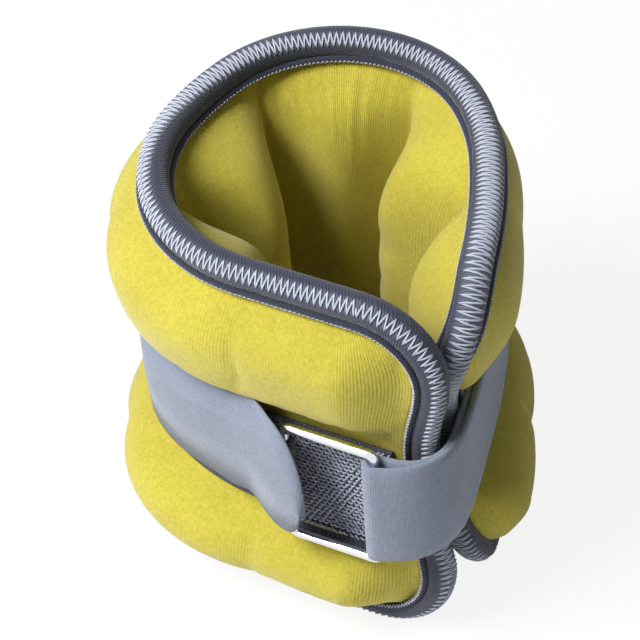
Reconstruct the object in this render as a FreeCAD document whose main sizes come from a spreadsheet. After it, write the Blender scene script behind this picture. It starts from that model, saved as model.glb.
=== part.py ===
"""Ankle cuff weight: a padded, sand-filled cuff closed by a strap through a metal ring.

Frame: +Z up, origin at the centre of the base.  The front flap faces -Y and the strap runs
along it in +X.  Lengths are millimetres.

The pad is built on two plan tracks, both run clockwise from the front flap's end (end A) to
the other end (end B): the rim track is the line of the edge binding at the top and bottom,
and the waist track is the cover's outer face under the tape, where the strap pulls it in.
"""
import FreeCAD, Part
import math
import os
from FreeCAD import Vector

doc = FreeCAD.newDocument("ankle_cuff_weight")
sheet = doc.addObject("Spreadsheet::Sheet", "Sizes")

SIZES = [
    # overall pad
    ("pad_height", 127.0),
    ("pocket_count", 6),
    ("pockets_on_half_a", 3),
    ("back_pocket", 4),
    ("seam_gap", 0.3),
    # rim track: start point, then the length and the clockwise turn of each run
    ("rim_start_x", 53.6),
    ("rim_start_y", -47.1),
    ("rim_front_run", 54.0),
    ("rim_left_run", 76.0),
    ("rim_left_turn", 94.0),
    ("rim_flat_run", 22.0),
    ("rim_flat_turn", 14.0),
    ("rim_back_run", 84.0),
    ("rim_back_turn", 116.0),
    ("rim_shoulder_run", 24.0),
    ("rim_shoulder_turn", 20.0),
    ("rim_right_run", 36.0),
    ("rim_right_turn", 11.0),
    ("rim_end_run", 23.9),
    # waist track
    ("waist_step_out", 3.0),
    ("waist_front_run", 49.5),
    ("waist_corner_run", 42.0),
    ("waist_corner_turn", 36.0),
    ("waist_left_run", 32.0),
    ("waist_left_turn", 54.0),
    ("waist_flat_run", 34.0),
    ("waist_flat_turn", 16.0),
    ("waist_back_run", 89.0),
    ("waist_back_turn", 118.0),
    ("waist_shoulder_run", 26.0),
    ("waist_shoulder_turn", 28.0),
    ("waist_right_run", 32.0),
    ("waist_right_turn", 6.0),
    ("waist_end_run", 23.9),
    # fabric
    ("fabric_thickness", 2.2),
    ("layer_gap", 0.3),
    ("waist_drop", 4.0),
    ("waist_low_half", 22.5),
    ("waist_high_half", 19.8),
    ("belly_at_end_a", 13.5),
    ("belly_at_left", 15.8),
    ("belly_at_back", 12.0),
    ("belly_at_end_b", 9.5),
    ("low_belly_extra", 3.5),
    ("tape_dent", 0.3),
    ("lobe_depth", 25.0),
    ("back_lobe_depth", 14.0),
    ("valley_depth", 2.5),
    ("end_fade", 24.0),
    ("lobe_fade", 64.0),
    # edge binding
    ("binding_radius", 4.5),
    ("binding_flat", 0.3),
    ("binding_clearance", 0.15),
    ("corner_radius", 20.0),
    ("end_pinch", 4.0),
    ("end_b_lean", 8.0),
    # weight bags
    ("bag_skin", 0.8),
    ("bag_fill_gap", 0.1),
    ("bag_gap", 1.4),
    ("bag_end_inset", 7.0),
    ("bag_rim_inset", 15.0),
    # tape and strap
    ("tape_width", 40.0),
    ("tape_drop", 2.3),
    ("strap_width", 38.0),
    ("webbing_thickness", 2.0),
    ("tape_seat", 0.15),
    ("tape_end_inset", 11.0),
    ("strap_root_length", 22.0),
    ("strap_lay_gap", 0.3),
    ("peel_distance", 104.0),
    ("tab_top_radius", 26.0),
    ("tab_low_radius", 6.0),
    ("tab_overhang", 8.0),
    ("hook_thickness", 0.7),
    ("hook_length", 20.0),
    ("hook_width", 32.0),
    # buckle ring and keeper
    ("ring_setback", 39.5),
    ("ring_standoff", 9.0),
    ("ring_width", 27.0),
    ("ring_side_gap", 0.4),
    ("ring_wire_radius", 1.4),
    ("ring_corner_radius", 2.2),
    ("ring_running_gap", 0.08),
    ("keeper_width", 33.0),
    ("keeper_thickness", 1.3),
    ("keeper_foot_setback", 3.0),
    ("keeper_foot_length", 7.0),
    ("fold_inner_bend", 10.0),
    ("fold_outer_bend", 15.0),
]
for row, (alias, value) in enumerate(SIZES, start=1):
    sheet.set("A%d" % row, alias)
    sheet.set("B%d" % row, str(value))
    sheet.setAlias("B%d" % row, alias)
doc.recompute()


def size(alias):
    return float(getattr(sheet, alias))


# ---------------------------------------------------------------- plan tracks

def unit(degrees):
    return Vector(math.cos(math.radians(degrees)), math.sin(math.radians(degrees)), 0)


NO_LENGTH = 1e-6


class Track:
    """A chain of straight and clockwise runs in plan, measured by distance from end A."""

    def __init__(self, start, heading, runs):
        self.runs = []
        at = 0.0
        for length, turn in runs:
            self.runs.append((at, length, turn, start, heading))
            start = self.run_point(self.runs[-1], length)
            heading -= turn
            at += length
        self.length = at

    @staticmethod
    def run_point(run, along):
        _, length, turn, start, heading = run
        if turn == 0:
            return start + unit(heading) * along
        radius = length / math.radians(turn)
        centre = start + unit(heading - 90) * radius
        return centre + unit(heading + 90 - math.degrees(along / radius)) * radius

    def run_at(self, distance):
        for run in self.runs:
            if distance <= run[0] + run[1]:
                return run
        return self.runs[-1]

    def heading(self, distance):
        run = self.run_at(distance)
        return run[4] - run[2] * (distance - run[0]) / run[1]

    def outward(self, distance):
        return unit(self.heading(distance) + 90)

    def point(self, distance, offset=0.0):
        run = self.run_at(distance)
        return self.run_point(run, distance - run[0]) + self.outward(distance) * offset

    def distance_beside(self, origin, direction, guess):
        """Distance along the track where the line from origin along direction meets it."""
        across = Vector(-direction.y, direction.x, 0)
        for _ in range(12):
            side = (self.point(guess) - origin).dot(across)
            guess -= side / unit(self.heading(guess)).dot(across)
        return guess

    def edges(self, begin, finish, offset):
        """The track's lines and arcs between two distances, moved outwards by offset."""
        shapes = []
        for run in self.runs:
            at, length, turn, _, _ = run
            low, high = max(begin, at), min(finish, at + length)
            if high - low < NO_LENGTH:
                continue
            spots = [self.run_point(run, distance - at)
                     + unit(run[4] - turn * (distance - at) / length + 90) * offset
                     for distance in (low, (low + high) / 2, high)]
            shapes.append(Part.LineSegment(spots[0], spots[2]) if turn == 0 else Part.Arc(*spots))
        return shapes


FRONT_HEADING = 180.0
rim = Track(Vector(size("rim_start_x"), size("rim_start_y"), 0), FRONT_HEADING, [
    (size("rim_front_run"), 0),
    (size("rim_left_run"), size("rim_left_turn")),
    (size("rim_flat_run"), size("rim_flat_turn")),
    (size("rim_back_run"), size("rim_back_turn")),
    (size("rim_shoulder_run"), size("rim_shoulder_turn")),
    (size("rim_right_run"), size("rim_right_turn")),
    (size("rim_end_run"), 0),
])
waist = Track(Vector(size("rim_start_x"), size("rim_start_y") - size("waist_step_out"), 0), FRONT_HEADING, [
    (size("waist_front_run"), 0),
    (size("waist_corner_run"), size("waist_corner_turn")),
    (size("waist_left_run"), size("waist_left_turn")),
    (size("waist_flat_run"), size("waist_flat_turn")),
    (size("waist_back_run"), size("waist_back_turn")),
    (size("waist_shoulder_run"), size("waist_shoulder_turn")),
    (size("waist_right_run"), size("waist_right_turn")),
    (size("waist_end_run"), 0),
])

HEIGHT = size("pad_height")
MIDDLE = HEIGHT / 2
WAIST_Z = MIDDLE - size("waist_drop")
WAIST_LOW = WAIST_Z - size("waist_low_half")
WAIST_HIGH = WAIST_Z + size("waist_high_half")
RIM_Z = size("binding_radius") - size("binding_flat")
FABRIC = size("fabric_thickness")
RIM_FACE = FABRIC + size("layer_gap") / 2
SHEET_LOW = RIM_Z + size("binding_radius") + size("binding_clearance")
SECTIONS_PER_POCKET = 8
SECTIONS_PER_HEIGHT = 26
SEAM = rim.length * size("pockets_on_half_a") / size("pocket_count")


# ---------------------------------------------------------------- pad surfaces

def smooth(value):
    value = min(max(value, 0.0), 1.0)
    return value * value * (3 - 2 * value)


def fade(distance):
    """0 at both ends of the pad, 1 past the fade length."""
    return smooth(min(distance, rim.length - distance) / size("end_fade"))


def lobe_swell(distance):
    """Share of the full bag depth on the inside: less in the bags beside the closure."""
    return pocket_fill(distance) * smooth(min(distance, rim.length - distance) / size("lobe_fade"))


def waist_bump(z):
    """1 over the tape, 0 at the rims."""
    if z < WAIST_Z:
        return smooth((z - RIM_Z) / (WAIST_LOW - RIM_Z))
    return smooth((HEIGHT - RIM_Z - z) / (HEIGHT - RIM_Z - WAIST_HIGH))


def pocket_fill(distance):
    """0 at the sewn seams between the weight bags, 1 at the middle of each bag."""
    pocket = rim.length / size("pocket_count")
    return abs(math.sin(math.pi * distance / pocket))


def waist_offset(distance):
    """Offset of the waist track from the rim track, square to the rim track."""
    outward = rim.outward(distance)
    beside = waist.distance_beside(rim.point(distance), outward, distance * waist.length / rim.length)
    return (waist.point(beside) - rim.point(distance)).dot(outward)


def middle_offset(distance, z):
    """Offset of the surface half-way between cover and lining."""
    return (waist_offset(distance) - FABRIC - size("layer_gap") / 2) * waist_bump(z)


# How far the upper belly stands out, at shares of the pad's length; the lower one stands
# out further.
BELLY_PLACES = (("belly_at_end_a", 0.12), ("belly_at_left", 0.31), ("belly_at_back", 0.6), ("belly_at_end_b", 0.85))


def belly_proud(distance):
    share = distance / rim.length
    proud = size(BELLY_PLACES[0][0])
    for (_, begin), (alias, finish) in zip(BELLY_PLACES, BELLY_PLACES[1:]):
        proud += (size(alias) - proud) * smooth((share - begin) / (finish - begin))
    return proud


# Shape of the cover from a rim to the belly and on to the tape's edge: share of the way, and
# share of the belly's stand-out.  The belly falls to the waist beside the tape, and the cover
# stays there under it at shares of half the tape's width.
RISE_UP, RISE_OUT = 0.16, 0.72
BELLY_UP = 0.36
FALL_OUT = 0.95
TAIL_GAP, TAIL_OUT = 6.0, 0.6
UNDER_TAPE = (1.13, 0.75, 0.35)
SEAM_FULLNESS = 0.9


def belly_points(distance, rim_z, tape_z, proud):
    """Cover's offsets from one rim to the tape's edge."""
    at_waist = waist_offset(distance)
    tail_z = tape_z + math.copysign(TAIL_GAP, rim_z - tape_z)
    belly_z = rim_z + (tape_z - rim_z) * BELLY_UP
    fallen = max(proud * FALL_OUT, RIM_FACE, at_waist)
    return [
        (RIM_FACE, rim_z),
        (max(proud * RISE_OUT, RIM_FACE), rim_z + (tape_z - rim_z) * RISE_UP),
        (max(proud, RIM_FACE, at_waist), belly_z),
        (fallen, (belly_z + tail_z) / 2),
        (at_waist + max(fallen - at_waist, 0) * TAIL_OUT, tail_z),
    ]


def cover_profile(distance, inset):
    """Outer cover's offsets over the height; inset moves the profile inwards."""
    share = fade(distance) * (SEAM_FULLNESS + (1 - SEAM_FULLNESS) * pocket_fill(distance))
    proud = belly_proud(distance)
    low = belly_points(distance, SHEET_LOW, WAIST_LOW, (proud + size("low_belly_extra")) * share)
    high = belly_points(distance, HEIGHT - SHEET_LOW, WAIST_HIGH, proud * share)
    pulled = waist_offset(distance) - size("tape_dent")
    under = [(pulled, WAIST_Z - size("waist_low_half") * place) for place in UNDER_TAPE]
    under += [(pulled, WAIST_Z + size("waist_high_half") * place) for place in reversed(UNDER_TAPE)]
    return [(offset - inset, z) for offset, z in low + under + list(reversed(high))]


# Shape of the bags' inner lobes: share of the way from the rim to mid-height, and share of
# the lobe's depth there.
LOBE_SHAPE = ((0.0, 0.0), (0.07, 0.3), (0.2, 0.66), (0.42, 0.92), (0.72, 0.99), (1.0, 1.0))
VALLEY_RAMP = 4


def lobe_depth_at(distance):
    """Depth of the bag's lobe at a distance: the bag in the tight back bend lies flatter."""
    pocket = math.floor(distance / (rim.length / size("pocket_count"))) + 1
    return size("back_lobe_depth") if pocket == size("back_pocket") else size("lobe_depth")


def lining_profile(distance, inset):
    """Lining's inner face over the height; inset moves the profile inwards."""
    depth = lobe_depth_at(distance) * lobe_swell(distance)
    valley_depth = size("valley_depth") * fade(distance)
    half = []
    for along, swell in LOBE_SHAPE:
        z = SHEET_LOW + (MIDDLE - SHEET_LOW) * along
        valley = middle_offset(distance, z) - RIM_FACE - valley_depth * smooth(along * VALLEY_RAMP)
        half.append((valley - depth * swell, z))
    full = half + [(offset, HEIGHT - z) for offset, z in reversed(half[:-1])]
    return [(offset - inset, z) for offset, z in full]


def in_space(distance, profile):
    base = rim.point(distance)
    outward = rim.outward(distance)
    return [base + outward * offset + Vector(0, 0, z) for offset, z in profile]


def spline(points):
    curve = Part.BSplineCurve()
    curve.interpolate(points)
    return curve.toShape()


def resample(profile, heights):
    """Offsets of a profile's smooth curve at even heights."""
    curve = Part.BSplineCurve()
    curve.interpolate([Vector(offset, z, 0) for offset, z in profile])
    found = []
    for z in heights:
        low, high = curve.FirstParameter, curve.LastParameter
        for _ in range(30):
            half = (low + high) / 2
            if curve.value(half).y < z:
                low = half
            else:
                high = half
        found.append((curve.value(half).x, z))
    return found


def fabric_surface(grid):
    """Smooth surface that has a grid of points as its control net."""
    degree = 3
    knots, counts = [], []
    for poles in (len(grid), len(grid[0])):
        spans = poles - degree
        knots.append([float(k) for k in range(spans + 1)])
        counts.append([degree + 1] + [1] * (spans - 1) + [degree + 1])
    surface = Part.BSplineSurface()
    surface.buildFromPolesMultsKnots(grid, counts[0], counts[1], knots[0], knots[1],
                                     False, False, degree, degree)
    return surface


def solid_between(distances, heights, outer, inner):
    """Solid between an outer and an inner profile, each a function of the distance."""
    faces, borders = [], []
    for profile in (outer, inner):
        grid = [in_space(distance, resample(profile(distance), heights)) for distance in distances]
        surface = fabric_surface(grid)
        faces.append(surface.toShape())
        low_u, high_u, low_v, high_v = surface.bounds()
        borders.append([surface.uIso(low_u).toShape(), surface.vIso(high_v).toShape(),
                        surface.uIso(high_u).toShape(), surface.vIso(low_v).toShape()])
    faces += [Part.makeRuledSurface(outer_edge, inner_edge, 1) for outer_edge, inner_edge in zip(*borders)]
    skin = Part.makeCompound(faces)
    skin.sewShape()
    solid = Part.Solid(skin.Shells[0])
    if solid.Volume < 0:
        solid.reverse()
    return solid


def evenly(first, last, spacing):
    steps = max(round((last - first) / spacing), 4)
    return [first + (last - first) * k / steps for k in range(steps + 1)]


def stations(begin, finish):
    """Distances of a sheet's sections along the pad."""
    return evenly(begin, finish, rim.length / size("pocket_count") / SECTIONS_PER_POCKET)


def heights_from(low):
    """Heights of a sheet's points, from low to as far below the top."""
    return evenly(low, HEIGHT - low, HEIGHT / SECTIONS_PER_HEIGHT)


def cover_sheet(begin, finish):
    return solid_between(stations(begin, finish), heights_from(SHEET_LOW),
                         lambda d: cover_profile(d, 0.0), lambda d: cover_profile(d, FABRIC))


def lining_sheet(begin, finish):
    return solid_between(stations(begin, finish), heights_from(SHEET_LOW),
                         lambda d: lining_profile(d, -FABRIC), lambda d: lining_profile(d, 0.0))


# ---------------------------------------------------------------- edge outline

PINCH_RAMP = 1.5
CORNER_STEPS = 5


def end_setback(z):
    """Distance of the binding's line from the pad's end at a height: the waist is drawn in."""
    reach = MIDDLE - RIM_Z - size("corner_radius")
    share = 1 - abs(z - MIDDLE) / reach
    return size("end_pinch") * smooth(share * PINCH_RAMP)


def end_lean(side, z):
    """Further setback at a height: end B leans back towards its lower corner."""
    if side == "a":
        return 0.0
    low = RIM_Z + size("corner_radius")
    return size("end_b_lean") * smooth((HEIGHT - low - z) / (HEIGHT - 2 * low))


def outline(side):
    """Line of the binding round one end, as (distance from the end, z), evenly spaced."""
    radius = size("corner_radius")
    low, high = RIM_Z + radius, HEIGHT - RIM_Z - radius
    edge_steps = round((high - low) / (radius * math.pi / 2 / CORNER_STEPS))
    lower = [(radius - radius * math.sin(math.pi / 2 * k / CORNER_STEPS),
              RIM_Z + radius - radius * math.cos(math.pi / 2 * k / CORNER_STEPS))
             for k in range(CORNER_STEPS + 1)]
    edge_heights = [low + (high - low) * k / edge_steps for k in range(1, edge_steps)]
    edge = [(end_setback(z), z) for z in edge_heights]
    upper = [(setback, HEIGHT - z) for setback, z in reversed(lower)]
    return [(setback + end_lean(side, z), z) for setback, z in lower + edge + upper]


def from_end(side, setback):
    return setback if side == "a" else rim.length - setback


def end_cutter(side):
    """Block that trims a sheet to the outline of the pad's end, clear of the binding."""
    clear = size("binding_radius") + size("binding_clearance")
    line = outline(side)
    trimmed = []
    for index, (setback, z) in enumerate(line):
        before = line[max(index - 1, 0)]
        after = line[min(index + 1, len(line) - 1)]
        along = Vector(after[0] - before[0], after[1] - before[1], 0)
        if index == 0 or index == len(line) - 1:
            along = Vector(-1, 0, 0) if index == 0 else Vector(1, 0, 0)
        along.normalize()
        trimmed.append((setback + along.y * clear, z - along.x * clear))
    reach = size("belly_at_left") + size("lobe_depth")
    outward = rim.outward(from_end(side, 0))

    def place(setback, z):
        inward_run = rim.point(from_end(side, 1)) - rim.point(from_end(side, 0))
        return rim.point(from_end(side, 0)) + inward_run * setback + Vector(0, 0, z) - outward * reach

    corners = [place(*spot) for spot in trimmed]
    rest = [place(trimmed[-1][0], HEIGHT + reach), place(-reach, HEIGHT + reach), place(-reach, -reach),
            place(trimmed[0][0], -reach), corners[0]]
    wire = Part.makePolygon(corners + rest)
    return Part.Face(wire).extrude(outward * reach * 2)


def binding_path(side):
    """Points on the binding's line round one end, with the pad's outward direction at each."""
    tuck = size("binding_radius") - FABRIC - size("layer_gap") / 2 + size("tape_seat")
    path = []
    for setback, z in outline(side):
        distance = from_end(side, setback)
        outward = rim.outward(distance)
        offset = middle_offset(distance, z) - tuck * waist_bump(z)
        path.append((rim.point(distance) + outward * offset + Vector(0, 0, z), outward))
    return path


def binding_circle(spot, across, tangent):
    """Section of the binding roll, as four arcs that start on its outward side."""
    beside = tangent.cross(across)
    rays = [(across * math.cos(angle) + beside * math.sin(angle)) * size("binding_radius")
            for angle in (math.pi / 4 * k for k in range(9))]
    quarters = [Part.Arc(spot + rays[k], spot + rays[k + 1], spot + rays[k + 2]) for k in (0, 2, 4, 6)]
    return Part.Wire([quarter.toShape() for quarter in quarters])


def binding_end(side):
    """Roll round the end of the pad, from the bottom rim over both corners to the top rim."""
    path = binding_path(side)
    wires = []
    for index, (spot, outward) in enumerate(path):
        before = path[max(index - 1, 0)][0]
        after = path[min(index + 1, len(path) - 1)][0]
        tangent = after - before
        if index in (0, len(path) - 1):
            square = Vector(-outward.y, outward.x, 0)
            tangent = square * math.copysign(1.0, square.dot(tangent))
        tangent.normalize()
        across = outward - tangent * outward.dot(tangent)
        across.normalize()
        wires.append(binding_circle(spot, across, tangent))
    return Part.makeLoft(wires, True, False)


def binding_run(side, z):
    """Roll along the straight and round stretches of one rim."""
    near = from_end(side, size("corner_radius") + end_lean(side, z))
    seam = SEAM + (-1 if side == "a" else 1) * size("seam_gap") / 2
    edges = [edge.toShape() for edge in rim.edges(min(near, seam), max(near, seam), 0.0)]
    start = edges[0].Vertexes[0].Point
    path = Part.Wire(Part.__sortEdges__(edges))
    path.translate(Vector(0, 0, z))
    heading = rim.heading(min(near, seam))
    circle = Part.makeCircle(size("binding_radius"), start + Vector(0, 0, z), unit(heading))
    return path.makePipe(Part.Face(Part.Wire([circle])))


def binding_solid(side):
    roll = binding_end(side).fuse([binding_run(side, RIM_Z), binding_run(side, HEIGHT - RIM_Z)])
    reach = max(rim.length, HEIGHT)
    floor = Part.makeBox(2 * reach, 2 * reach, reach, Vector(-reach, -reach, -reach))
    return roll.cut(floor)


# ---------------------------------------------------------------- sub-parts

subparts = []


def keep(feature, label):
    feature.Label = label
    subparts.append(feature)
    return feature


def shaped(label, shape):
    feature = doc.addObject("Part::Feature", label)
    feature.Shape = shape
    return keep(feature, label)


HALVES = {"a": (0.0, SEAM - size("seam_gap") / 2), "b": (SEAM + size("seam_gap") / 2, rim.length)}

for side, (begin, finish) in HALVES.items():
    cutter = end_cutter(side)
    shaped("outer_cover_" + side, cover_sheet(begin, finish).cut(cutter))
    shaped("inner_lining_" + side, lining_sheet(begin, finish).cut(cutter))
    shaped("edge_binding_" + side, binding_solid(side))


def bag_solid(number, inset):
    """Filled space of one weight bag, drawn in by inset on every side."""
    pocket = rim.length / size("pocket_count")
    edge = size("end_pinch") + size("binding_radius")
    begin = max(number * pocket, edge) + size("bag_end_inset") + inset
    finish = min((number + 1) * pocket, rim.length - edge) - size("bag_end_inset") - inset
    low = RIM_Z + size("bag_rim_inset") + inset
    wall = FABRIC + size("bag_gap") + inset
    return solid_between(stations(begin, finish), heights_from(low),
                         lambda d: cover_profile(d, wall), lambda d: lining_profile(d, -wall))


def hollow(outside, inside):
    """Closed wall between an outer solid and a smaller one within it."""
    cavity = inside.Shells[0].copy()
    cavity.reverse()
    return Part.Solid(Part.makeCompound([outside.Shells[0], cavity]))


for number in range(int(size("pocket_count"))):
    skin = size("bag_skin")
    shaped("weight_bag_%d" % (number + 1), hollow(bag_solid(number, 0.0), bag_solid(number, skin)))
    shaped("iron_fill_%d" % (number + 1), bag_solid(number, skin + size("bag_fill_gap")))


# Bands that follow the waist: a sketch of the band in plan, padded to the band's width.

def plane_of(body, role):
    return next(feature for feature in body.Origin.OriginFeatures if feature.Role == role)


def plan_pad(label, geometry, width_alias, drop="0"):
    """Body whose plan sketch is padded to a width, centred on the strap's height less a drop."""
    body = doc.addObject("PartDesign::Body", label)
    sketch = body.newObject("Sketcher::SketchObject", label + "_plan")
    sketch.AttachmentSupport = [(plane_of(body, "XY_Plane"), "")]
    sketch.MapMode = "FlatFace"
    sketch.setExpression("AttachmentOffset.Base.z",
                         "Sizes.pad_height / 2 - Sizes.waist_drop - Sizes.%s / 2 - %s" % (width_alias, drop))
    sketch.addGeometry(geometry, False)
    pad = body.newObject("PartDesign::Pad", label + "_pad")
    pad.Profile = sketch
    pad.setExpression("Length", "Sizes." + width_alias)
    doc.recompute()
    return keep(body, label)


def band(begin, finish, inner, outer):
    """Plan outline of a band on the waist track between two offsets."""
    inside = waist.edges(begin, finish, inner)
    outside = waist.edges(begin, finish, outer)
    ends = [Part.LineSegment(waist.point(begin, inner), waist.point(begin, outer)),
            Part.LineSegment(waist.point(finish, inner), waist.point(finish, outer))]
    return inside + outside + ends


def waist_beside(distance):
    return waist.distance_beside(rim.point(distance), rim.outward(distance), distance)


SEAM_A = waist_beside(SEAM - size("seam_gap") / 2)
SEAM_B = waist_beside(SEAM + size("seam_gap") / 2)
TAPE_IN = size("tape_seat")
TAPE_OUT = TAPE_IN + size("webbing_thickness")
STRAP_IN = TAPE_OUT + size("strap_lay_gap")
STRAP_OUT = STRAP_IN + size("webbing_thickness")
PEEL = size("peel_distance")
ROOT_FINISH = waist.length - size("tape_end_inset")
ROOT_BEGIN = ROOT_FINISH - size("strap_root_length")

plan_pad("base_tape_a", band(size("tape_end_inset"), SEAM_A, TAPE_IN, TAPE_OUT), "tape_width",
         "Sizes.tape_drop")
plan_pad("base_tape_b", band(SEAM_B, ROOT_BEGIN - size("seam_gap"), TAPE_IN, TAPE_OUT), "tape_width",
         "Sizes.tape_drop")
plan_pad("strap_run_a", band(PEEL + size("seam_gap"), SEAM_A, STRAP_IN, STRAP_OUT), "strap_width")
plan_pad("strap_root", band(ROOT_BEGIN, ROOT_FINISH, TAPE_IN, TAPE_OUT), "strap_width")
plan_pad("strap_run_b", band(SEAM_B, ROOT_FINISH, STRAP_IN, STRAP_OUT), "strap_width")

# The strap's free end: it leaves the tape in a straight line over the keeper and the ring.

LEFT_LEG = waist.point(size("ring_setback"), size("ring_standoff"))
RIGHT_LEG = LEFT_LEG + Vector(size("ring_width"), 0, 0)
LEG_BORE = size("ring_wire_radius") + size("ring_running_gap")
KEEPER_OUT = LEG_BORE + size("keeper_thickness")


def leaving_distance():
    """Place on the waist whose tangent just clears the keeper round the ring's left leg."""
    low, high = 0.0, PEEL
    for _ in range(60):
        half = (low + high) / 2
        gap = (LEFT_LEG - waist.point(half, STRAP_IN)).dot(waist.outward(half))
        if gap + KEEPER_OUT + size("strap_lay_gap") > 0:
            low = half
        else:
            high = half
    return low


LEAVE = leaving_distance()
TAB_IN = STRAP_IN + size("hook_thickness")
tab_run = unit(waist.heading(LEAVE)) * -1
tab_length = (LEFT_LEG - waist.point(LEAVE)).dot(tab_run) + size("tab_overhang")
tab_end = [waist.point(LEAVE, offset) + tab_run * tab_length for offset in (TAB_IN, STRAP_OUT)]
tab_outline = (waist.edges(LEAVE, PEEL, TAB_IN) + waist.edges(LEAVE, PEEL, STRAP_OUT) + [
    Part.LineSegment(waist.point(LEAVE, TAB_IN), tab_end[0]),
    Part.LineSegment(tab_end[0], tab_end[1]),
    Part.LineSegment(tab_end[1], waist.point(LEAVE, STRAP_OUT)),
    Part.LineSegment(waist.point(PEEL, TAB_IN), waist.point(PEEL, STRAP_OUT)),
])
tab = plan_pad("strap_tab", tab_outline, "strap_width")
SAME_PLACE = 0.01


def round_tab_corner(name, side, radius):
    """Round the free end's corner above (+1) or below (-1) the middle."""
    base = tab.Tip
    corner = None
    for number, edge in enumerate(base.Shape.Edges, start=1):
        centre = edge.CenterOfMass
        plan = Vector(centre.x, centre.y, 0)
        at_end = (plan - (tab_end[0] + tab_end[1]) / 2).Length < SAME_PLACE
        at_side = abs((centre.z - WAIST_Z) * side - size("strap_width") / 2) < SAME_PLACE
        if at_end and at_side:
            corner = "Edge%d" % number
    rounding = tab.newObject("PartDesign::Fillet", name)
    rounding.Base = (base, [corner])
    rounding.setExpression("Radius", radius)
    doc.recompute()


round_tab_corner("strap_tab_top_rounding", 1, "Sizes.tab_top_radius")
round_tab_corner("strap_tab_low_rounding", -1, "Sizes.tab_low_radius")
hook_begin, hook_finish = LEAVE + size("seam_gap"), LEAVE + size("hook_length")
plan_pad("hook_patch", band(hook_begin, hook_finish, STRAP_IN, TAB_IN), "hook_width")


# Keeper: webbing folded round the ring's left leg and sewn to the tape.

def tangent_point(spot, centre, radius, turn):
    """Where a line from spot touches a circle; turn is +1 or -1 for the side."""
    away = spot - centre
    base = math.degrees(math.atan2(away.y, away.x))
    return centre + unit(base + turn * math.degrees(math.acos(radius / away.Length))) * radius


foot_depth = 2 * size("keeper_thickness")
foot_near = size("ring_setback") + size("keeper_foot_setback")
foot_far = foot_near + size("keeper_foot_length")
foot = [waist.point(foot_far, TAPE_OUT),
        waist.point(foot_far, TAPE_OUT + foot_depth),
        waist.point(foot_far - 2 * foot_depth, TAPE_OUT + foot_depth),
        waist.point(foot_near, TAPE_OUT)]
outer_touch = tangent_point(foot[2], LEFT_LEG, KEEPER_OUT, 1)
inner_touch = tangent_point(foot[3], LEFT_LEG, KEEPER_OUT, -1)
reach_way = LEFT_LEG - (foot[2] + foot[3]) / 2
reach_way.normalize()
plan_pad("keeper_loop", [
    Part.LineSegment(foot[0], foot[1]),
    Part.LineSegment(foot[1], foot[2]),
    Part.LineSegment(foot[2], outer_touch),
    Part.Arc(outer_touch, LEFT_LEG + reach_way * KEEPER_OUT, inner_touch),
    Part.LineSegment(inner_touch, foot[3]),
    Part.LineSegment(foot[3], foot[0]),
    Part.Circle(LEFT_LEG, Vector(0, 0, 1), LEG_BORE),
], "keeper_width")


# Bridge: from the root at end B round the ring's right leg and back over the root.

def bend(line_y, offset, radius):
    """Arc from a level run at line_y to the waist's end run at an offset, as three points."""
    end_way = unit(waist.heading(waist.length)) * -1
    beside = waist.point(waist.length, offset)
    corner = beside + end_way * ((line_y - beside.y) / end_way.y)
    half_turn = math.acos(Vector(1, 0, 0).dot(end_way)) / 2
    level = corner - Vector(1, 0, 0) * radius * math.tan(half_turn)
    rising = corner + end_way * radius * math.tan(half_turn)
    centre = level + Vector(0, radius, 0)
    inward = corner - centre
    inward.normalize()
    return level, centre + inward * radius, rising


def layer_face(line_y, offset, radius):
    """Edges of one face of a strap layer, from the ring's leg to the pad's end."""
    level, middle, rising = bend(line_y, offset, radius)
    leg_side = Vector(RIGHT_LEG.x, line_y, 0)
    root_side = waist.point(ROOT_FINISH + size("seam_gap"), offset)
    return leg_side, root_side, [Part.LineSegment(leg_side, level), Part.Arc(level, middle, rising),
                                 Part.LineSegment(rising, root_side)]


WEBBING = size("webbing_thickness")
inner_bend, outer_bend = size("fold_inner_bend"), size("fold_outer_bend")
under_in = layer_face(RIGHT_LEG.y + LEG_BORE + WEBBING, TAPE_IN, inner_bend - WEBBING / 2)
under_out = layer_face(RIGHT_LEG.y + LEG_BORE, TAPE_OUT, inner_bend + WEBBING / 2)
over_in = layer_face(RIGHT_LEG.y - LEG_BORE, STRAP_IN, outer_bend - WEBBING / 2)
over_out = layer_face(RIGHT_LEG.y - LEG_BORE - WEBBING, STRAP_OUT, outer_bend + WEBBING / 2)
window_side = Vector(-1, 0, 0)
plan_pad("strap_bridge", under_in[2] + under_out[2] + over_in[2] + over_out[2] + [
    Part.Arc(under_in[0], RIGHT_LEG + window_side * (LEG_BORE + WEBBING), over_out[0]),
    Part.Arc(under_out[0], RIGHT_LEG + window_side * LEG_BORE, over_in[0]),
    Part.LineSegment(under_in[1], under_out[1]),
    Part.LineSegment(over_in[1], over_out[1]),
], "strap_width")


# Ring: round wire bent to a rectangle, swept about its own centre.

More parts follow.
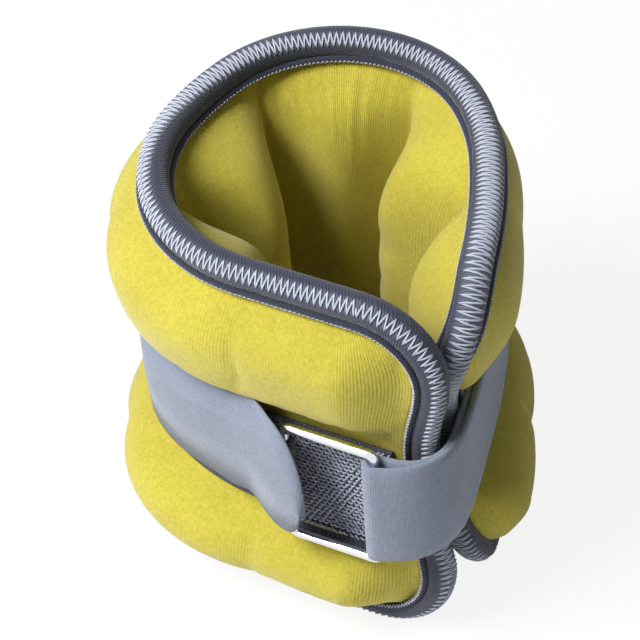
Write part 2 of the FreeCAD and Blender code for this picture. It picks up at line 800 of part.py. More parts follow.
ring = doc.addObject("PartDesign::Body", "buckle_ring")
ring_path = ring.newObject("Sketcher::SketchObject", "buckle_ring_path")
ring_path.AttachmentSupport = [(plane_of(ring, "XZ_Plane"), "")]
ring_path.MapMode = "FlatFace"
corner = size("ring_corner_radius")
half_width = size("ring_width") / 2
cut_width = half_width - corner
cut_height = size("strap_width") / 2 + size("ring_side_gap")
half_height = cut_height + corner
edges = []
for sign_x, sign_y in ((1, 1), (-1, 1), (-1, -1), (1, -1)):
    begin = Vector(sign_x * half_width, sign_y * cut_height, 0)
    finish = Vector(sign_x * cut_width, sign_y * half_height, 0)
    slant = corner * math.sqrt(0.5)
    middle = Vector(sign_x * (cut_width + slant), sign_y * (cut_height + slant), 0)
    edges.append(Part.Arc(begin, middle, finish))
for sign in (1, -1):
    edges.append(Part.LineSegment(Vector(-cut_width, sign * half_height, 0),
                                  Vector(cut_width, sign * half_height, 0)))
    edges.append(Part.LineSegment(Vector(sign * half_width, -cut_height, 0),
                                  Vector(sign * half_width, cut_height, 0)))
ring_path.addGeometry(edges, False)
ring_wire = ring.newObject("Sketcher::SketchObject", "buckle_ring_wire")
ring_wire.AttachmentSupport = [(plane_of(ring, "XY_Plane"), "")]
ring_wire.MapMode = "FlatFace"
wire_centre = Vector(-half_width, 0, 0)
ring_wire.addGeometry(Part.Circle(wire_centre, Vector(0, 0, 1), size("ring_wire_radius")), False)
doc.recompute()
ring_pipe = ring.newObject("PartDesign::AdditivePipe", "buckle_ring_pipe")
ring_pipe.Profile = ring_wire
ring_pipe.Spine = ring_path
ring.setExpression("Placement.Base.x", "Sizes.rim_start_x - Sizes.ring_setback + Sizes.ring_width / 2")
ring.setExpression("Placement.Base.y", "Sizes.rim_start_y - Sizes.waist_step_out - Sizes.ring_standoff")
ring.setExpression("Placement.Base.z", "Sizes.pad_height / 2 - Sizes.waist_drop")
keep(ring, "buckle_ring")


# ---------------------------------------------------------------- checks and files

doc.recompute()
for item in doc.Objects:
    if "Invalid" in item.State or "Error" in item.State:
        raise RuntimeError("%s did not build: %s" % (item.Name, item.State))
for item in subparts:
    if item.Shape.isNull() or not item.Shape.isValid():
        raise RuntimeError("%s has no valid shape" % item.Label)

os.makedirs("parts", exist_ok=True)
for item in subparts:
    item.Shape.exportStep("parts/%s.step" % item.Label)
    print("%-18s %2d solid %9.0f mm3" % (item.Label, len(item.Shape.Solids), item.Shape.Volume))
hinge_out = belly_proud(SEAM) + size("low_belly_extra") + size("layer_gap")
hinge = rim.point(SEAM) + rim.outward(SEAM) * hinge_out
peel = waist.point(PEEL, STRAP_OUT)
print("spread hinge at %.4f %.4f" % (hinge.x / 1000, hinge.y / 1000))
print("tab hinge at %.4f %.4f" % (peel.x / 1000, peel.y / 1000))
print("ring hinge at %.4f %.4f" % (LEFT_LEG.x / 1000, LEFT_LEG.y / 1000))
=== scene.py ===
"""Ankle cuff weight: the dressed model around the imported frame.

Frame: +Z up, origin at the centre of the base, the front flap facing -Y and the strap
running along it in +X.  Sizes here are millimetres, and meshes are written in metres.
Every piece is laid out by its distance along the pad from the front flap's end (end A) to
the other end (end B), its height, and its offset outwards.
"""
import math
import random

import bmesh
import bpy
import numpy as np
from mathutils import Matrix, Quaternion, Vector


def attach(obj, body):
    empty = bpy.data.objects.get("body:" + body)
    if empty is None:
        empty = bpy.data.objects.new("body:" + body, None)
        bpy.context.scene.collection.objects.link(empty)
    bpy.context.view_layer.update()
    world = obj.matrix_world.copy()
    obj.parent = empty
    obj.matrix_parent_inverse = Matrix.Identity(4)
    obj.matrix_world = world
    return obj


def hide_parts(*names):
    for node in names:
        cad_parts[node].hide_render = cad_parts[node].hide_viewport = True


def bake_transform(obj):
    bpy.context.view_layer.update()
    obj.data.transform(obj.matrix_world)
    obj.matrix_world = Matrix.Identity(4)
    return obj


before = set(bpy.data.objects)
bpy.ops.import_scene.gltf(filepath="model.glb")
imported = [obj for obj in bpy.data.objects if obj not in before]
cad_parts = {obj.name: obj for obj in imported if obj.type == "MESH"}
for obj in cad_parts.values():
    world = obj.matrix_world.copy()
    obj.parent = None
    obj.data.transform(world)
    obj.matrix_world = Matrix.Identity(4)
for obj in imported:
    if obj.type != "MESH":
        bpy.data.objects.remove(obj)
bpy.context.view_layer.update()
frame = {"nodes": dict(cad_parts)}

MM = 0.001
UP = Vector((0, 0, 1))

# ---------------------------------------------------------------- driving sizes

PAD_HEIGHT = 127.0
MIDDLE = PAD_HEIGHT / 2
WAIST_Z = MIDDLE - 4.0
WAIST_LOW = WAIST_Z - 22.5
WAIST_HIGH = WAIST_Z + 19.8
POCKETS = 6
FABRIC = 2.2
LAYER_GAP = 0.3
ROLL = 4.5
RIM_Z = 4.2
CORNER = 20.0
END_PINCH = 4.0
END_B_LEAN = 8.0
END_FADE = 24.0
LOBE_FADE = 64.0
BELLY_PLACES = ((13.5, 0.12), (15.8, 0.31), (12.0, 0.6), (9.5, 0.85))
LOW_BELLY_EXTRA = 3.5
LOBE_DEPTH = 25.0
BACK_POCKET = 4
BACK_LOBE_DEPTH = 14.0
VALLEY_DEPTH = 2.5
TAPE_WIDTH = 37.5
TAPE_DROP = 3.6
STRAP_WIDTH = 38.0
WEBBING = 2.0
TAPE_SEAT = 0.15
STRAP_LAY_GAP = 0.3
PEEL = 104.0
TAPE_END_INSET = 11.0
ROOT_LENGTH = 22.0
RING_SETBACK = 39.5
RING_STANDOFF = 9.0
RING_WIDTH = 27.0
RING_WIRE = 1.4
RING_CORNER = 2.2
RING_SIDE_GAP = 0.4
LEG_BORE = 1.48
KEEPER_THICKNESS = 1.3
KEEPER_WIDTH = 33.0
HOOK_THICKNESS = 0.7
TAB_OVERHANG = 10.5
FOLD_INNER_BEND = 12.0
FOLD_OUTER_BEND = 18.0

TAPE_OUT = TAPE_SEAT + WEBBING
STRAP_IN = TAPE_OUT + STRAP_LAY_GAP
STRAP_OUT = STRAP_IN + WEBBING
RIM_FACE = FABRIC + LAYER_GAP / 2
SHEET_LOW = RIM_Z + ROLL + 0.15

RIM_START = (53.6, -47.1)
WAIST_START = (53.6, -50.1)
RIM_RUNS = ((54.0, 0), (76.0, 94.0), (22.0, 14.0), (84.0, 116.0), (24.0, 20.0), (36.0, 11.0), (23.9, 0))
WAIST_RUNS = ((49.5, 0), (42.0, 36.0), (32.0, 54.0), (34.0, 16.0), (89.0, 118.0), (26.0, 28.0),
              (32.0, 6.0), (23.9, 0))


def smooth(value):
    value = min(max(value, 0.0), 1.0)
    return value * value * (3 - 2 * value)


def mix(low, high, share):
    return low + (high - low) * share


def spread(first, last, spacing):
    """Evenly spaced numbers from first to last, about spacing apart."""
    steps = max(int(round(abs(last - first) / spacing)), 1)
    return [first + (last - first) * k / steps for k in range(steps + 1)]


# ---------------------------------------------------------------- plan tracks

class Track:
    """A chain of straight and clockwise runs in plan, read by distance from end A."""
    STEP = 0.25

    def __init__(self, start, runs):
        x, y, heading = start[0], start[1], math.pi
        rows = [(0.0, x, y, heading)]
        at = 0.0
        for length, turn in runs:
            steps = int(round(length / self.STEP))
            step, bend = length / steps, math.radians(turn) / steps
            for _ in range(steps):
                middle = heading - bend / 2
                x += math.cos(middle) * step
                y += math.sin(middle) * step
                heading -= bend
                at += step
                rows.append((at, x, y, heading))
        self.length = at
        self.table = np.array(rows).T

    def read(self, distance):
        at = min(max(distance, 0.0), self.length)
        x, y, heading = (float(np.interp(at, self.table[0], row)) for row in self.table[1:])
        past = distance - at
        return x + math.cos(heading) * past, y + math.sin(heading) * past, heading

    def forward(self, distance):
        heading = self.read(distance)[2]
        return Vector((math.cos(heading), math.sin(heading), 0))

    def outward(self, distance):
        heading = self.read(distance)[2]
        return Vector((-math.sin(heading), math.cos(heading), 0))

    def point(self, distance, offset=0.0, z=0.0):
        x, y, heading = self.read(distance)
        return Vector((x - math.sin(heading) * offset, y + math.cos(heading) * offset, z))

    def beside(self, spot, direction, guess):
        """Distance where the line from spot along direction meets the track."""
        across = Vector((-direction.y, direction.x, 0))
        for _ in range(8):
            guess -= (self.point(guess) - spot).dot(across) / self.forward(guess).dot(across)
        return guess


rim = Track(RIM_START, RIM_RUNS)
waist = Track(WAIST_START, WAIST_RUNS)
PAD_LENGTH = rim.length
POCKET = PAD_LENGTH / POCKETS


def waist_beside(distance):
    return waist.beside(rim.point(distance), rim.outward(distance), distance * waist.length / PAD_LENGTH)


PLACES = spread(0.0, PAD_LENGTH, 1.0)
STEP_OUT = [(waist.point(waist_beside(d)) - rim.point(d)).dot(rim.outward(d)) for d in PLACES]
WAIST_AT = [waist_beside(d) for d in PLACES]


def waist_offset(distance):
    return float(np.interp(distance, PLACES, STEP_OUT))


def rim_distance(waist_distance):
    """Distance along the pad of a place given by its distance along the waist."""
    return float(np.interp(waist_distance, WAIST_AT, PLACES))


# ---------------------------------------------------------------- pad shape

def fade(distance):
    return smooth(min(distance, PAD_LENGTH - distance) / END_FADE)


def pocket_fill(distance):
    return abs(math.sin(math.pi * distance / POCKET))


def lobe_swell(distance):
    return pocket_fill(distance) * smooth(min(distance, PAD_LENGTH - distance) / LOBE_FADE)


def waist_bump(z):
    if z < WAIST_Z:
        return smooth((z - RIM_Z) / (WAIST_LOW - RIM_Z))
    return smooth((PAD_HEIGHT - RIM_Z - z) / (PAD_HEIGHT - RIM_Z - WAIST_HIGH))


def middle_offset(distance, z):
    return (waist_offset(distance) - FABRIC - LAYER_GAP / 2) * waist_bump(z)


def edge_offset(distance, z):
    """Offset of the binding's centre line."""
    return middle_offset(distance, z) - (ROLL - RIM_FACE + TAPE_SEAT) * waist_bump(z)


def through(points, z):
    """Smooth curve through (offset, z) points, read at a height."""
    last = len(points) - 2
    k = 0
    while k < last and points[k + 1][1] < z:
        k += 1
    (a, za), (b, zb) = points[k], points[k + 1]
    before, after = points[max(k - 1, 0)], points[min(k + 2, len(points) - 1)]
    slope_a = (b - before[0]) / (zb - before[1])
    slope_b = (after[0] - a) / (after[1] - za)
    span = zb - za
    t = min(max((z - za) / span, 0.0), 1.0)
    return ((2 * t ** 3 - 3 * t ** 2 + 1) * a + (t ** 3 - 2 * t ** 2 + t) * span * slope_a
            + (3 * t ** 2 - 2 * t ** 3) * b + (t ** 3 - t ** 2) * span * slope_b)


def belly_proud(distance):
    share = distance / PAD_LENGTH
    proud = BELLY_PLACES[0][0]
    for (_, begin), (value, finish) in zip(BELLY_PLACES, BELLY_PLACES[1:]):
        proud += (value - proud) * smooth((share - begin) / (finish - begin))
    return proud


# Shape of the cover from a rim to the belly and on to the tape's edge: share of the way, and
# share of the belly's stand-out.
RISE_UP, RISE_OUT = 0.16, 0.72
BELLY_UP, FALL_OUT = 0.36, 0.95
TAIL_GAP, TAIL_OUT = 5.0, 0.62
SEAM_FULLNESS = 0.9


def belly_points(distance, rim_z, tape_z, proud):
    """Cover's offsets from one rim to the tape's edge."""
    at_waist = waist_offset(distance)
    tail_z = tape_z + math.copysign(TAIL_GAP, rim_z - tape_z)
    belly_z = mix(rim_z, tape_z, BELLY_UP)
    fallen = max(proud * FALL_OUT, RIM_FACE, at_waist)
    return [
        (RIM_FACE, rim_z),
        (max(proud * RISE_OUT, RIM_FACE), mix(rim_z, tape_z, RISE_UP)),
        (max(proud, RIM_FACE, at_waist), belly_z),
        (fallen, (belly_z + tail_z) / 2),
        (at_waist + max(fallen - at_waist, 0) * TAIL_OUT, tail_z),
        (at_waist, tape_z),
    ]


def cover_offset(distance, z):
    share = fade(distance) * (SEAM_FULLNESS + (1 - SEAM_FULLNESS) * pocket_fill(distance))
    proud = belly_proud(distance)
    if z < WAIST_Z:
        half = belly_points(distance, SHEET_LOW, WAIST_LOW, (proud + LOW_BELLY_EXTRA) * share)
        return through(half + [(half[-1][0], WAIST_Z)], z)
    half = belly_points(distance, PAD_HEIGHT - SHEET_LOW, WAIST_HIGH, proud * share)
    return through([(half[-1][0], WAIST_Z)] + list(reversed(half)), z)


# Swell of a lobe from the rim to mid-height: share of the way up, and share of the depth.
LOBE_SHAPE = ((0.0, 0.0), (0.07, 0.3), (0.2, 0.66), (0.42, 0.92), (0.72, 0.99), (1.0, 1.0))
GATHER_HEIGHT = 0.62
GATHER_REACH = 8.0
GATHER_FADES = (4.0, 34.0)


def gathers(distance, z):
    """Small upright pleats of the lining, by the seams and over the back bag, fading from the rims."""
    beside = (distance / POCKET + 0.5) % 1.0 - 0.5
    near = math.exp(-(beside * POCKET / GATHER_REACH) ** 2)
    if int(distance / POCKET) + 1 == BACK_POCKET:
        near = max(near, 0.6)
    wave = math.sin(distance * 1.42 + 1.1 * math.sin(distance * 0.37)) + 0.5 * math.sin(distance * 0.83 + 2.0)
    from_rim = min(z, PAD_HEIGHT - z) - SHEET_LOW
    starting, ending = GATHER_FADES
    return GATHER_HEIGHT * near * wave * smooth(from_rim / starting) * smooth(1.0 - from_rim / ending)


def lobe_depth_at(distance):
    """Depth of the bag's lobe: the bag in the tight back bend lies flatter."""
    return BACK_LOBE_DEPTH if int(distance / POCKET) + 1 == BACK_POCKET else LOBE_DEPTH


def lining_offset(distance, z):
    depth = lobe_depth_at(distance) * lobe_swell(distance)
    half = []
    for along, swell in LOBE_SHAPE:
        height = mix(SHEET_LOW, MIDDLE, along)
        valley = VALLEY_DEPTH * fade(distance) * smooth(along * 4)
        half.append((middle_offset(distance, height) - RIM_FACE - valley - depth * swell, height))
    whole = half + [(offset, PAD_HEIGHT - at) for offset, at in reversed(half[:-1])]
    return through(whole, z) + gathers(distance, z) * fade(distance)


def end_setback(z):
    """Distance of the binding's line from the pad's end at a height."""
    low, high = RIM_Z + CORNER, PAD_HEIGHT - RIM_Z - CORNER
    if low <= z <= high:
        share = 1 - abs(z - MIDDLE) / (MIDDLE - low)
        return END_PINCH * smooth(share * 1.5)
    away = low - z if z < low else z - high
    return CORNER - math.sqrt(max(CORNER ** 2 - away ** 2, 0.0))


def end_lean(z):
    """Further setback of end B, which leans back towards its lower corner."""
    low, high = RIM_Z + CORNER, PAD_HEIGHT - RIM_Z - CORNER
    return END_B_LEAN * smooth((high - z) / (high - low))


def end_b(z):
    """Distance along the pad of the binding's line at end B."""
    return PAD_LENGTH - end_setback(z) - end_lean(z)


# ---------------------------------------------------------------- meshes

def linked(name, data):
    """New object of the scene."""
    obj = bpy.data.objects.new(name, data)
    bpy.context.scene.collection.objects.link(obj)
    return obj


def new_mesh(name, vertices, faces, maps, stations):
    """Object from vertices in mm, with a map in metres and the distance along the pad."""
    mesh = bpy.data.meshes.new(name)
    mesh.from_pydata([tuple(v * MM) for v in vertices], [], faces)
    layer = mesh.uv_layers.new(name="surface")
    layer.data.foreach_set("uv", np.array(maps, np.float32).reshape(-1) * MM)
    along = mesh.attributes.new("along", "FLOAT", "POINT")
    along.data.foreach_set("value", np.array(stations, np.float32))
    for polygon in mesh.polygons:
        polygon.use_smooth = True
    return linked(name, mesh)


def face_outwards(obj):
    """Turn every face of a closed mesh outwards."""
    work = bmesh.new()
    work.from_mesh(obj.data)
    bmesh.ops.recalc_face_normals(work, faces=work.faces)
    work.to_mesh(obj.data)
    work.free()
    return obj


def above_floor(obj):
    """Flatten what would reach below the floor the cuff stands on."""
    for vertex in obj.data.vertices:
        vertex.co.z = max(vertex.co.z, 0.0)
    return obj


def skin(name, rings, lengths, around, stations, loop=False):
    """Closed mesh over a row of rings.  lengths and around give the map; stations the pad distance."""
    sides = len(rings[0])
    vertices = [point for ring in rings for point in ring]
    faces, maps = [], []
    for i in range(len(rings) if loop else len(rings) - 1):
        k = (i + 1) % len(rings)
        for j in range(sides):
            m = (j + 1) % sides
            faces.append((i * sides + j, i * sides + m, k * sides + m, k * sides + j))
            maps += [(lengths[i], around[j]), (lengths[i], around[j + 1]),
                     (lengths[i + 1], around[j + 1]), (lengths[i + 1], around[j])]
    if not loop:
        for i in (0, len(rings) - 1):
            faces.append(tuple(i * sides + j for j in range(sides)))
            maps += [(lengths[i], around[j]) for j in range(sides)]
    points = [station for station in stations for _ in range(sides)]
    obj = face_outwards(new_mesh(name, vertices, faces, maps, points))
    if not loop:
        sharpen_ends(obj.data, sides)
    return obj


def sharpen_ends(mesh, sides):
    """Flat end faces with hard edges, so the strip's sides keep their own shading."""
    ends = [polygon for polygon in mesh.polygons if len(polygon.vertices) == sides]
    rims = set()
    for polygon in ends:
        polygon.use_smooth = False
        rims.update(polygon.edge_keys)
    for edge in mesh.edges:
        if edge.key in rims:
            edge.use_edge_sharp = True


def dress(obj, material):
    obj.data.materials.clear()
    obj.data.materials.append(material)
    return obj


def settled(obj):
    """Turn an object's modifiers into a plain mesh."""
    graph = bpy.context.evaluated_depsgraph_get()
    graph.update()
    mesh = bpy.data.meshes.new_from_object(obj.evaluated_get(graph), preserve_all_data_layers=True,
                                           depsgraph=graph)
    old = obj.data
    obj.modifiers.clear()
    obj.data = mesh
    bpy.data.meshes.remove(old)
    mesh.name = obj.name
    return obj


def subdivided(obj, levels=1):
    modifier = obj.modifiers.new("smooth", "SUBSURF")
    modifier.levels = levels
    modifier.render_levels = levels
    return settled(obj)


def cross(obj):
    """Piece between two bodies: bake its placement into the mesh and read its distance along the pad."""
    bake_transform(obj)
    along = np.zeros(len(obj.data.vertices), np.float32)
    obj.data.attributes["along"].data.foreach_get("value", along)
    return obj


def cross_seam(obj):
    return cross(obj)


# ---------------------------------------------------------------- materials

def node_group(name, inputs, outputs):
    """Empty shader group with named sockets: each is (name, type, default)."""
    tree = bpy.data.node_groups.new(name, "ShaderNodeTree")
    for socket_name, kind, default in inputs:
        socket = tree.interface.new_socket(socket_name, in_out="INPUT", socket_type=kind)
        socket.default_value = default
    for socket_name, kind in outputs:
        tree.interface.new_socket(socket_name, in_out="OUTPUT", socket_type=kind)
    return tree, tree.nodes.new("NodeGroupInput"), tree.nodes.new("NodeGroupOutput")


def calc(tree, operation, first, second=None, third=None):
    node = tree.nodes.new("ShaderNodeMath")
    node.operation = operation
    for socket, value in zip(node.inputs, (first, second, third)):
        if isinstance(value, (int, float)):
            socket.default_value = value
        elif value is not None:
            tree.links.new(value, socket)
    return node.outputs[0]


def blend_colour(tree, share, first, second):
    node = tree.nodes.new("ShaderNodeMix")
    node.data_type = "RGBA"
    node.clamp_factor = True
    for socket, value in ((node.inputs[0], share), (node.inputs[6], first), (node.inputs[7], second)):
        if isinstance(value, (int, float)):
            socket.default_value = value
        elif isinstance(value, tuple):
            socket.default_value = (*value, 1.0) if len(value) == 3 else value
        else:
            tree.links.new(value, socket)
    return node.outputs[2]


def set_values(node, **values):
    """Set a node's inputs by name, an underscore standing for a space."""
    for name, value in values.items():
        node.inputs[name.replace("_", " ")].default_value = value


def noise(tree, vector, scale, detail=2.0, roughness=0.5):
    node = tree.nodes.new("ShaderNodeTexNoise")
    set_values(node, Detail=detail, Roughness=roughness)
    if isinstance(scale, (int, float)):
        node.inputs["Scale"].default_value = scale
    else:
        tree.links.new(scale, node.inputs["Scale"])
    tree.links.new(vector, node.inputs["Vector"])
    return node.outputs["Fac"]


def surface_map(tree):
    node = tree.nodes.new("ShaderNodeUVMap")
    node.uv_map = "surface"
    return node.outputs["UV"]


def place_in_object(tree):
    return tree.nodes.new("ShaderNodeTexCoord").outputs["Object"]


def fibre_group():
    """Uneven dye and loose fibres, as on any brushed cloth."""
    tree, given, result = node_group(
        "brushed_fibres",
        [("Place", "NodeSocketVector", (0, 0, 0)), ("Colour", "NodeSocketColor", (1, 1, 1, 1)),
         ("Dark", "NodeSocketColor", (0, 0, 0, 1)), ("Grain", "NodeSocketFloat", 900.0),
         ("Strength", "NodeSocketFloat", 0.5)],
        [("Colour", "NodeSocketColor"), ("Height", "NodeSocketFloat")])
    fine = noise(tree, given.outputs["Place"], given.outputs["Grain"], 3.0, 0.65)
    broad = noise(tree, given.outputs["Place"], 60.0, 2.0)
    spots = calc(tree, "MULTIPLY_ADD", fine, 1.7, -0.45)
    patches = calc(tree, "MULTIPLY_ADD", broad, 0.5, -0.1)
    both = calc(tree, "ADD", calc(tree, "MULTIPLY", spots, 0.7), patches)
    share = calc(tree, "MULTIPLY", calc(tree, "SUBTRACT", 1.0, both), given.outputs["Strength"])
    tree.links.new(blend_colour(tree, share, given.outputs["Colour"], given.outputs["Dark"]),
                   result.inputs["Colour"])
    tree.links.new(fine, result.inputs["Height"])
    return tree


def rows_group():
    """Rows of knit or weave on a surface map: a soft ridge for each row, waved by a second set."""
    tree, given, result = node_group(
        "cloth_rows",
        [("Map", "NodeSocketVector", (0, 0, 0)), ("Row", "NodeSocketFloat", 0.001),
         ("Course", "NodeSocketFloat", 0.001), ("Slant", "NodeSocketFloat", 0.0),
         ("Wave", "NodeSocketFloat", 0.3)],
        [("Height", "NodeSocketFloat"), ("Gap", "NodeSocketFloat")])
    split = tree.nodes.new("ShaderNodeSeparateXYZ")
    tree.links.new(given.outputs["Map"], split.inputs[0])
    leaning = calc(tree, "MULTIPLY_ADD", split.outputs[1], given.outputs["Slant"], split.outputs[0])
    course = calc(tree, "MULTIPLY", calc(tree, "DIVIDE", split.outputs[1], given.outputs["Course"]), math.tau)
    ripple = calc(tree, "SINE", course)
    wave = given.outputs["Wave"]
    row = calc(tree, "DIVIDE", leaning, given.outputs["Row"])
    waved = calc(tree, "MULTIPLY_ADD", ripple, calc(tree, "MULTIPLY", wave, 0.5), row)
    ridge = calc(tree, "MULTIPLY_ADD", calc(tree, "SINE", calc(tree, "MULTIPLY", waved, math.tau)), 0.5, 0.5)
    stitch = calc(tree, "MULTIPLY_ADD", calc(tree, "ABSOLUTE", ripple), calc(tree, "MULTIPLY", wave, 0.6),
                  calc(tree, "MULTIPLY", ridge, 0.7))
    tree.links.new(stitch, result.inputs["Height"])
    tree.links.new(calc(tree, "SUBTRACT", 1.0, ridge), result.inputs["Gap"])
    return tree


FIBRES = fibre_group()
ROWS = rows_group()


def use_group(tree, group, **values):
    node = tree.nodes.new("ShaderNodeGroup")
    node.node_tree = group
    for name, value in values.items():
        socket = node.inputs[name]
        if hasattr(value, "is_linked"):
            tree.links.new(value, socket)
        elif isinstance(value, tuple) and len(value) == 3 and socket.type == "RGBA":
            socket.default_value = (*value, 1.0)
        else:
            socket.default_value = value
    return node


def new_material(name, **values):
    material = bpy.data.materials.new(name)
    material.use_nodes = True
    shader = material.node_tree.nodes["Principled BSDF"]
    set_values(shader, **values)
    return material, material.node_tree, shader


def bump(tree, shader, height, depth):
    """Relief of a depth in mm."""
    node = tree.nodes.new("ShaderNodeBump")
    set_values(node, Distance=depth * MM, Strength=1.0)
    tree.links.new(height, node.inputs["Height"])
    tree.links.new(node.outputs["Normal"], shader.inputs["Normal"])


def brushed(tree, colour, dark, grain, strength):
    return use_group(tree, FIBRES, Place=place_in_object(tree), Colour=colour, Dark=dark, Grain=grain,
                     Strength=strength)


def cloth(name, colour, dark, row, course, depth, slant=0.0, wave=0.3, grain=900.0, strength=0.5,
          gap_shade=0.35, sheen=0.25):
    """Cloth with rows of knit or weave from the surface map, fibres and uneven dye."""
    material, tree, shader = new_material(name, Roughness=0.9, Sheen_Weight=sheen, Sheen_Roughness=0.5)
    fibres = brushed(tree, colour, dark, grain, strength)
    rows = use_group(tree, ROWS, Map=surface_map(tree), Row=row * MM, Course=course * MM, Slant=slant,
                     Wave=wave)
    shade = calc(tree, "MULTIPLY", calc(tree, "POWER", rows.outputs["Gap"], 2.0), gap_shade)
    tree.links.new(blend_colour(tree, shade, fibres.outputs["Colour"], dark), shader.inputs["Base Color"])
    height = calc(tree, "MULTIPLY_ADD", fibres.outputs["Height"], 0.8, rows.outputs["Height"])
    bump(tree, shader, height, depth)
    return material


YELLOW_KNIT = cloth("yellow_knit", (0.64, 0.575, 0.066), (0.33, 0.258, 0.013), row=0.8, course=0.85,
                    depth=0.13, wave=0.3, grain=850.0, strength=0.85, gap_shade=0.2, sheen=0.22)
BINDING_KNIT = cloth("binding_knit", (0.034, 0.04, 0.072), (0.008, 0.009, 0.02), row=0.75, course=3.0,
                     depth=0.22, slant=0.55, wave=0.15, grain=1500.0, strength=0.5, gap_shade=0.75,
                     sheen=0.15)
STRAP_LOOP = cloth("strap_loop", (0.31, 0.355, 0.455), (0.14, 0.165, 0.23), row=0.62, course=0.7, depth=0.16,
                   wave=0.3, grain=1000.0, strength=0.95, gap_shade=0.3, sheen=0.25)
# Loop tape: its own dark grey, painted darker still as shade under the yarn loops.
COARSE_LOOP = cloth("coarse_loop", (0.085, 0.09, 0.125), (0.02, 0.022, 0.035), row=1.4, course=1.2, depth=0.4,
                    wave=0.8, grain=1200.0, strength=0.6, gap_shade=0.9, sheen=0.2)
# Loop yarn: partly its own grey, made paler as painted highlight of the loops' lit tops.
LOOP_YARN = cloth("loop_yarn", (0.62, 0.66, 0.80), (0.2, 0.215, 0.29), row=0.3, course=0.3, depth=0.03,
                  grain=2500.0, strength=0.6, gap_shade=0.3, sheen=0.3)
PALE_THREAD = cloth("pale_thread", (0.56, 0.60, 0.70), (0.26, 0.28, 0.37), row=0.45, course=0.45, depth=0.03,
                    slant=1.0, grain=2600.0, strength=0.35, gap_shade=0.35, sheen=0.3)


def roll_knit():
    """Ribbed dark knit of the binding roll, paler under the overlock thread, with thread-wide bars."""
    material, tree, shader = new_material("roll_knit", Roughness=0.85, Sheen_Weight=0.2)
    mapped = surface_map(tree)
    band = tree.nodes.new("ShaderNodeAttribute")
    band.attribute_name = "band"
    ribs = use_group(tree, ROWS, Map=mapped, Row=0.95 * MM, Course=2.6 * MM, Slant=0.5, Wave=0.12)
    bars = use_group(tree, ROWS, Map=mapped, Row=0.55 * MM, Course=9.0 * MM, Slant=0.12, Wave=0.5)
    dark = brushed(tree, (0.05, 0.058, 0.10), (0.014, 0.016, 0.034), 1500.0, 0.6)
    # The gaps between the ribs are painted darker, as painted shade in the recesses.
    knit = blend_colour(tree, calc(tree, "MULTIPLY", ribs.outputs["Gap"], 0.72), dark.outputs["Colour"],
                        (0.014, 0.015, 0.032))
    barred = blend_colour(tree, bars.outputs["Gap"], (0.17, 0.185, 0.25), (0.035, 0.04, 0.066))
    tree.links.new(blend_colour(tree, band.outputs["Fac"], knit, barred), shader.inputs["Base Color"])
    bar_height = calc(tree, "MULTIPLY", bars.outputs["Height"], band.outputs["Fac"])
    bump(tree, shader, calc(tree, "ADD", bar_height, ribs.outputs["Height"]), 0.2)
    return material


ROLL_KNIT = roll_knit()


def object_cloth(name, colour, dark):
    """Plain-woven cloth for a piece with no surface map."""
    material, tree, shader = new_material(name, Roughness=0.9)
    fibres = brushed(tree, colour, dark, 1500.0, 0.5)
    tree.links.new(fibres.outputs["Colour"], shader.inputs["Base Color"])
    bump(tree, shader, fibres.outputs["Height"], 0.1)
    return material


def sand():
    """Dark loose grains, with a dull metal shine on some."""
    material, tree, shader = new_material("iron_sand", Metallic=0.6, Roughness=0.55)
    grains = tree.nodes.new("ShaderNodeTexVoronoi")
    set_values(grains, Scale=1400.0)
    tree.links.new(place_in_object(tree), grains.inputs["Vector"])
    distance = grains.outputs["Distance"]
    # Painted shade: each grain is darker towards its edge, where it meets the next.
    grain_edge_shade = calc(tree, "MULTIPLY", distance, 1.2)
    tone = blend_colour(tree, grain_edge_shade, (0.12, 0.12, 0.125), (0.025, 0.025, 0.028))
    tree.links.new(tone, shader.inputs["Base Color"])
    bump(tree, shader, calc(tree, "SUBTRACT", 1.0, distance), 0.4)
    return material


def chrome():
    """Bright plated wire with faint handling marks."""
    material, tree, shader = new_material("plated_wire", Metallic=1.0)
    marks = noise(tree, place_in_object(tree), 700.0, 4.0, 0.7)
    tone = blend_colour(tree, marks, (0.86, 0.87, 0.89), (0.72, 0.73, 0.76))
    tree.links.new(tone, shader.inputs["Base Color"])
    tree.links.new(calc(tree, "MULTIPLY_ADD", marks, 0.14, 0.08), shader.inputs["Roughness"])
    bump(tree, shader, marks, 0.02)
    return material


BAG_CLOTH = object_cloth("bag_cloth", (0.62, 0.62, 0.58), (0.42, 0.42, 0.39))
HOOK_CLOTH = object_cloth("hook_patch_cloth", (0.30, 0.32, 0.38), (0.10, 0.11, 0.15))
IRON_SAND = sand()
PLATED_WIRE = chrome()


# ---------------------------------------------------------------- the padded body

COVER, LINING = 0, 1
PAD_COLUMN = 1.8
PAD_ROW = 2.4
SETBACK_REACH = 2.2
OPENING_REACH = 0.9


def setback_share(along):
    """How far an end's setback still moves a column at a distance from that end."""
    return 1 - smooth(along / (CORNER * SETBACK_REACH))


def pad_place(column, z):
    """Distance along the pad of a column at a height, drawn in near both ends."""
    near_a = end_setback(z) * setback_share(column)
    near_b = (PAD_LENGTH - end_b(z)) * setback_share(PAD_LENGTH - column)
    return column + near_a - near_b


def pad_point(side, distance, z):
    """Point of one side, drawn in to the binding near the edge, and whether it is sewn down."""
    inside = min(distance - end_setback(z), end_b(z) - distance, z - RIM_Z, PAD_HEIGHT - RIM_Z - z)
    face_at = (cover_offset, lining_offset)[side]
    face = face_at(distance, min(max(z, SHEET_LOW), PAD_HEIGHT - SHEET_LOW))
    offset = mix(edge_offset(distance, z), face, smooth(inside / (ROLL * OPENING_REACH)))
    on_tape = side == COVER and WAIST_LOW < z < WAIST_HIGH
    sewn = inside < ROLL or on_tape or (side == LINING and on_seam(distance))
    return rim.point(distance, offset, z), sewn


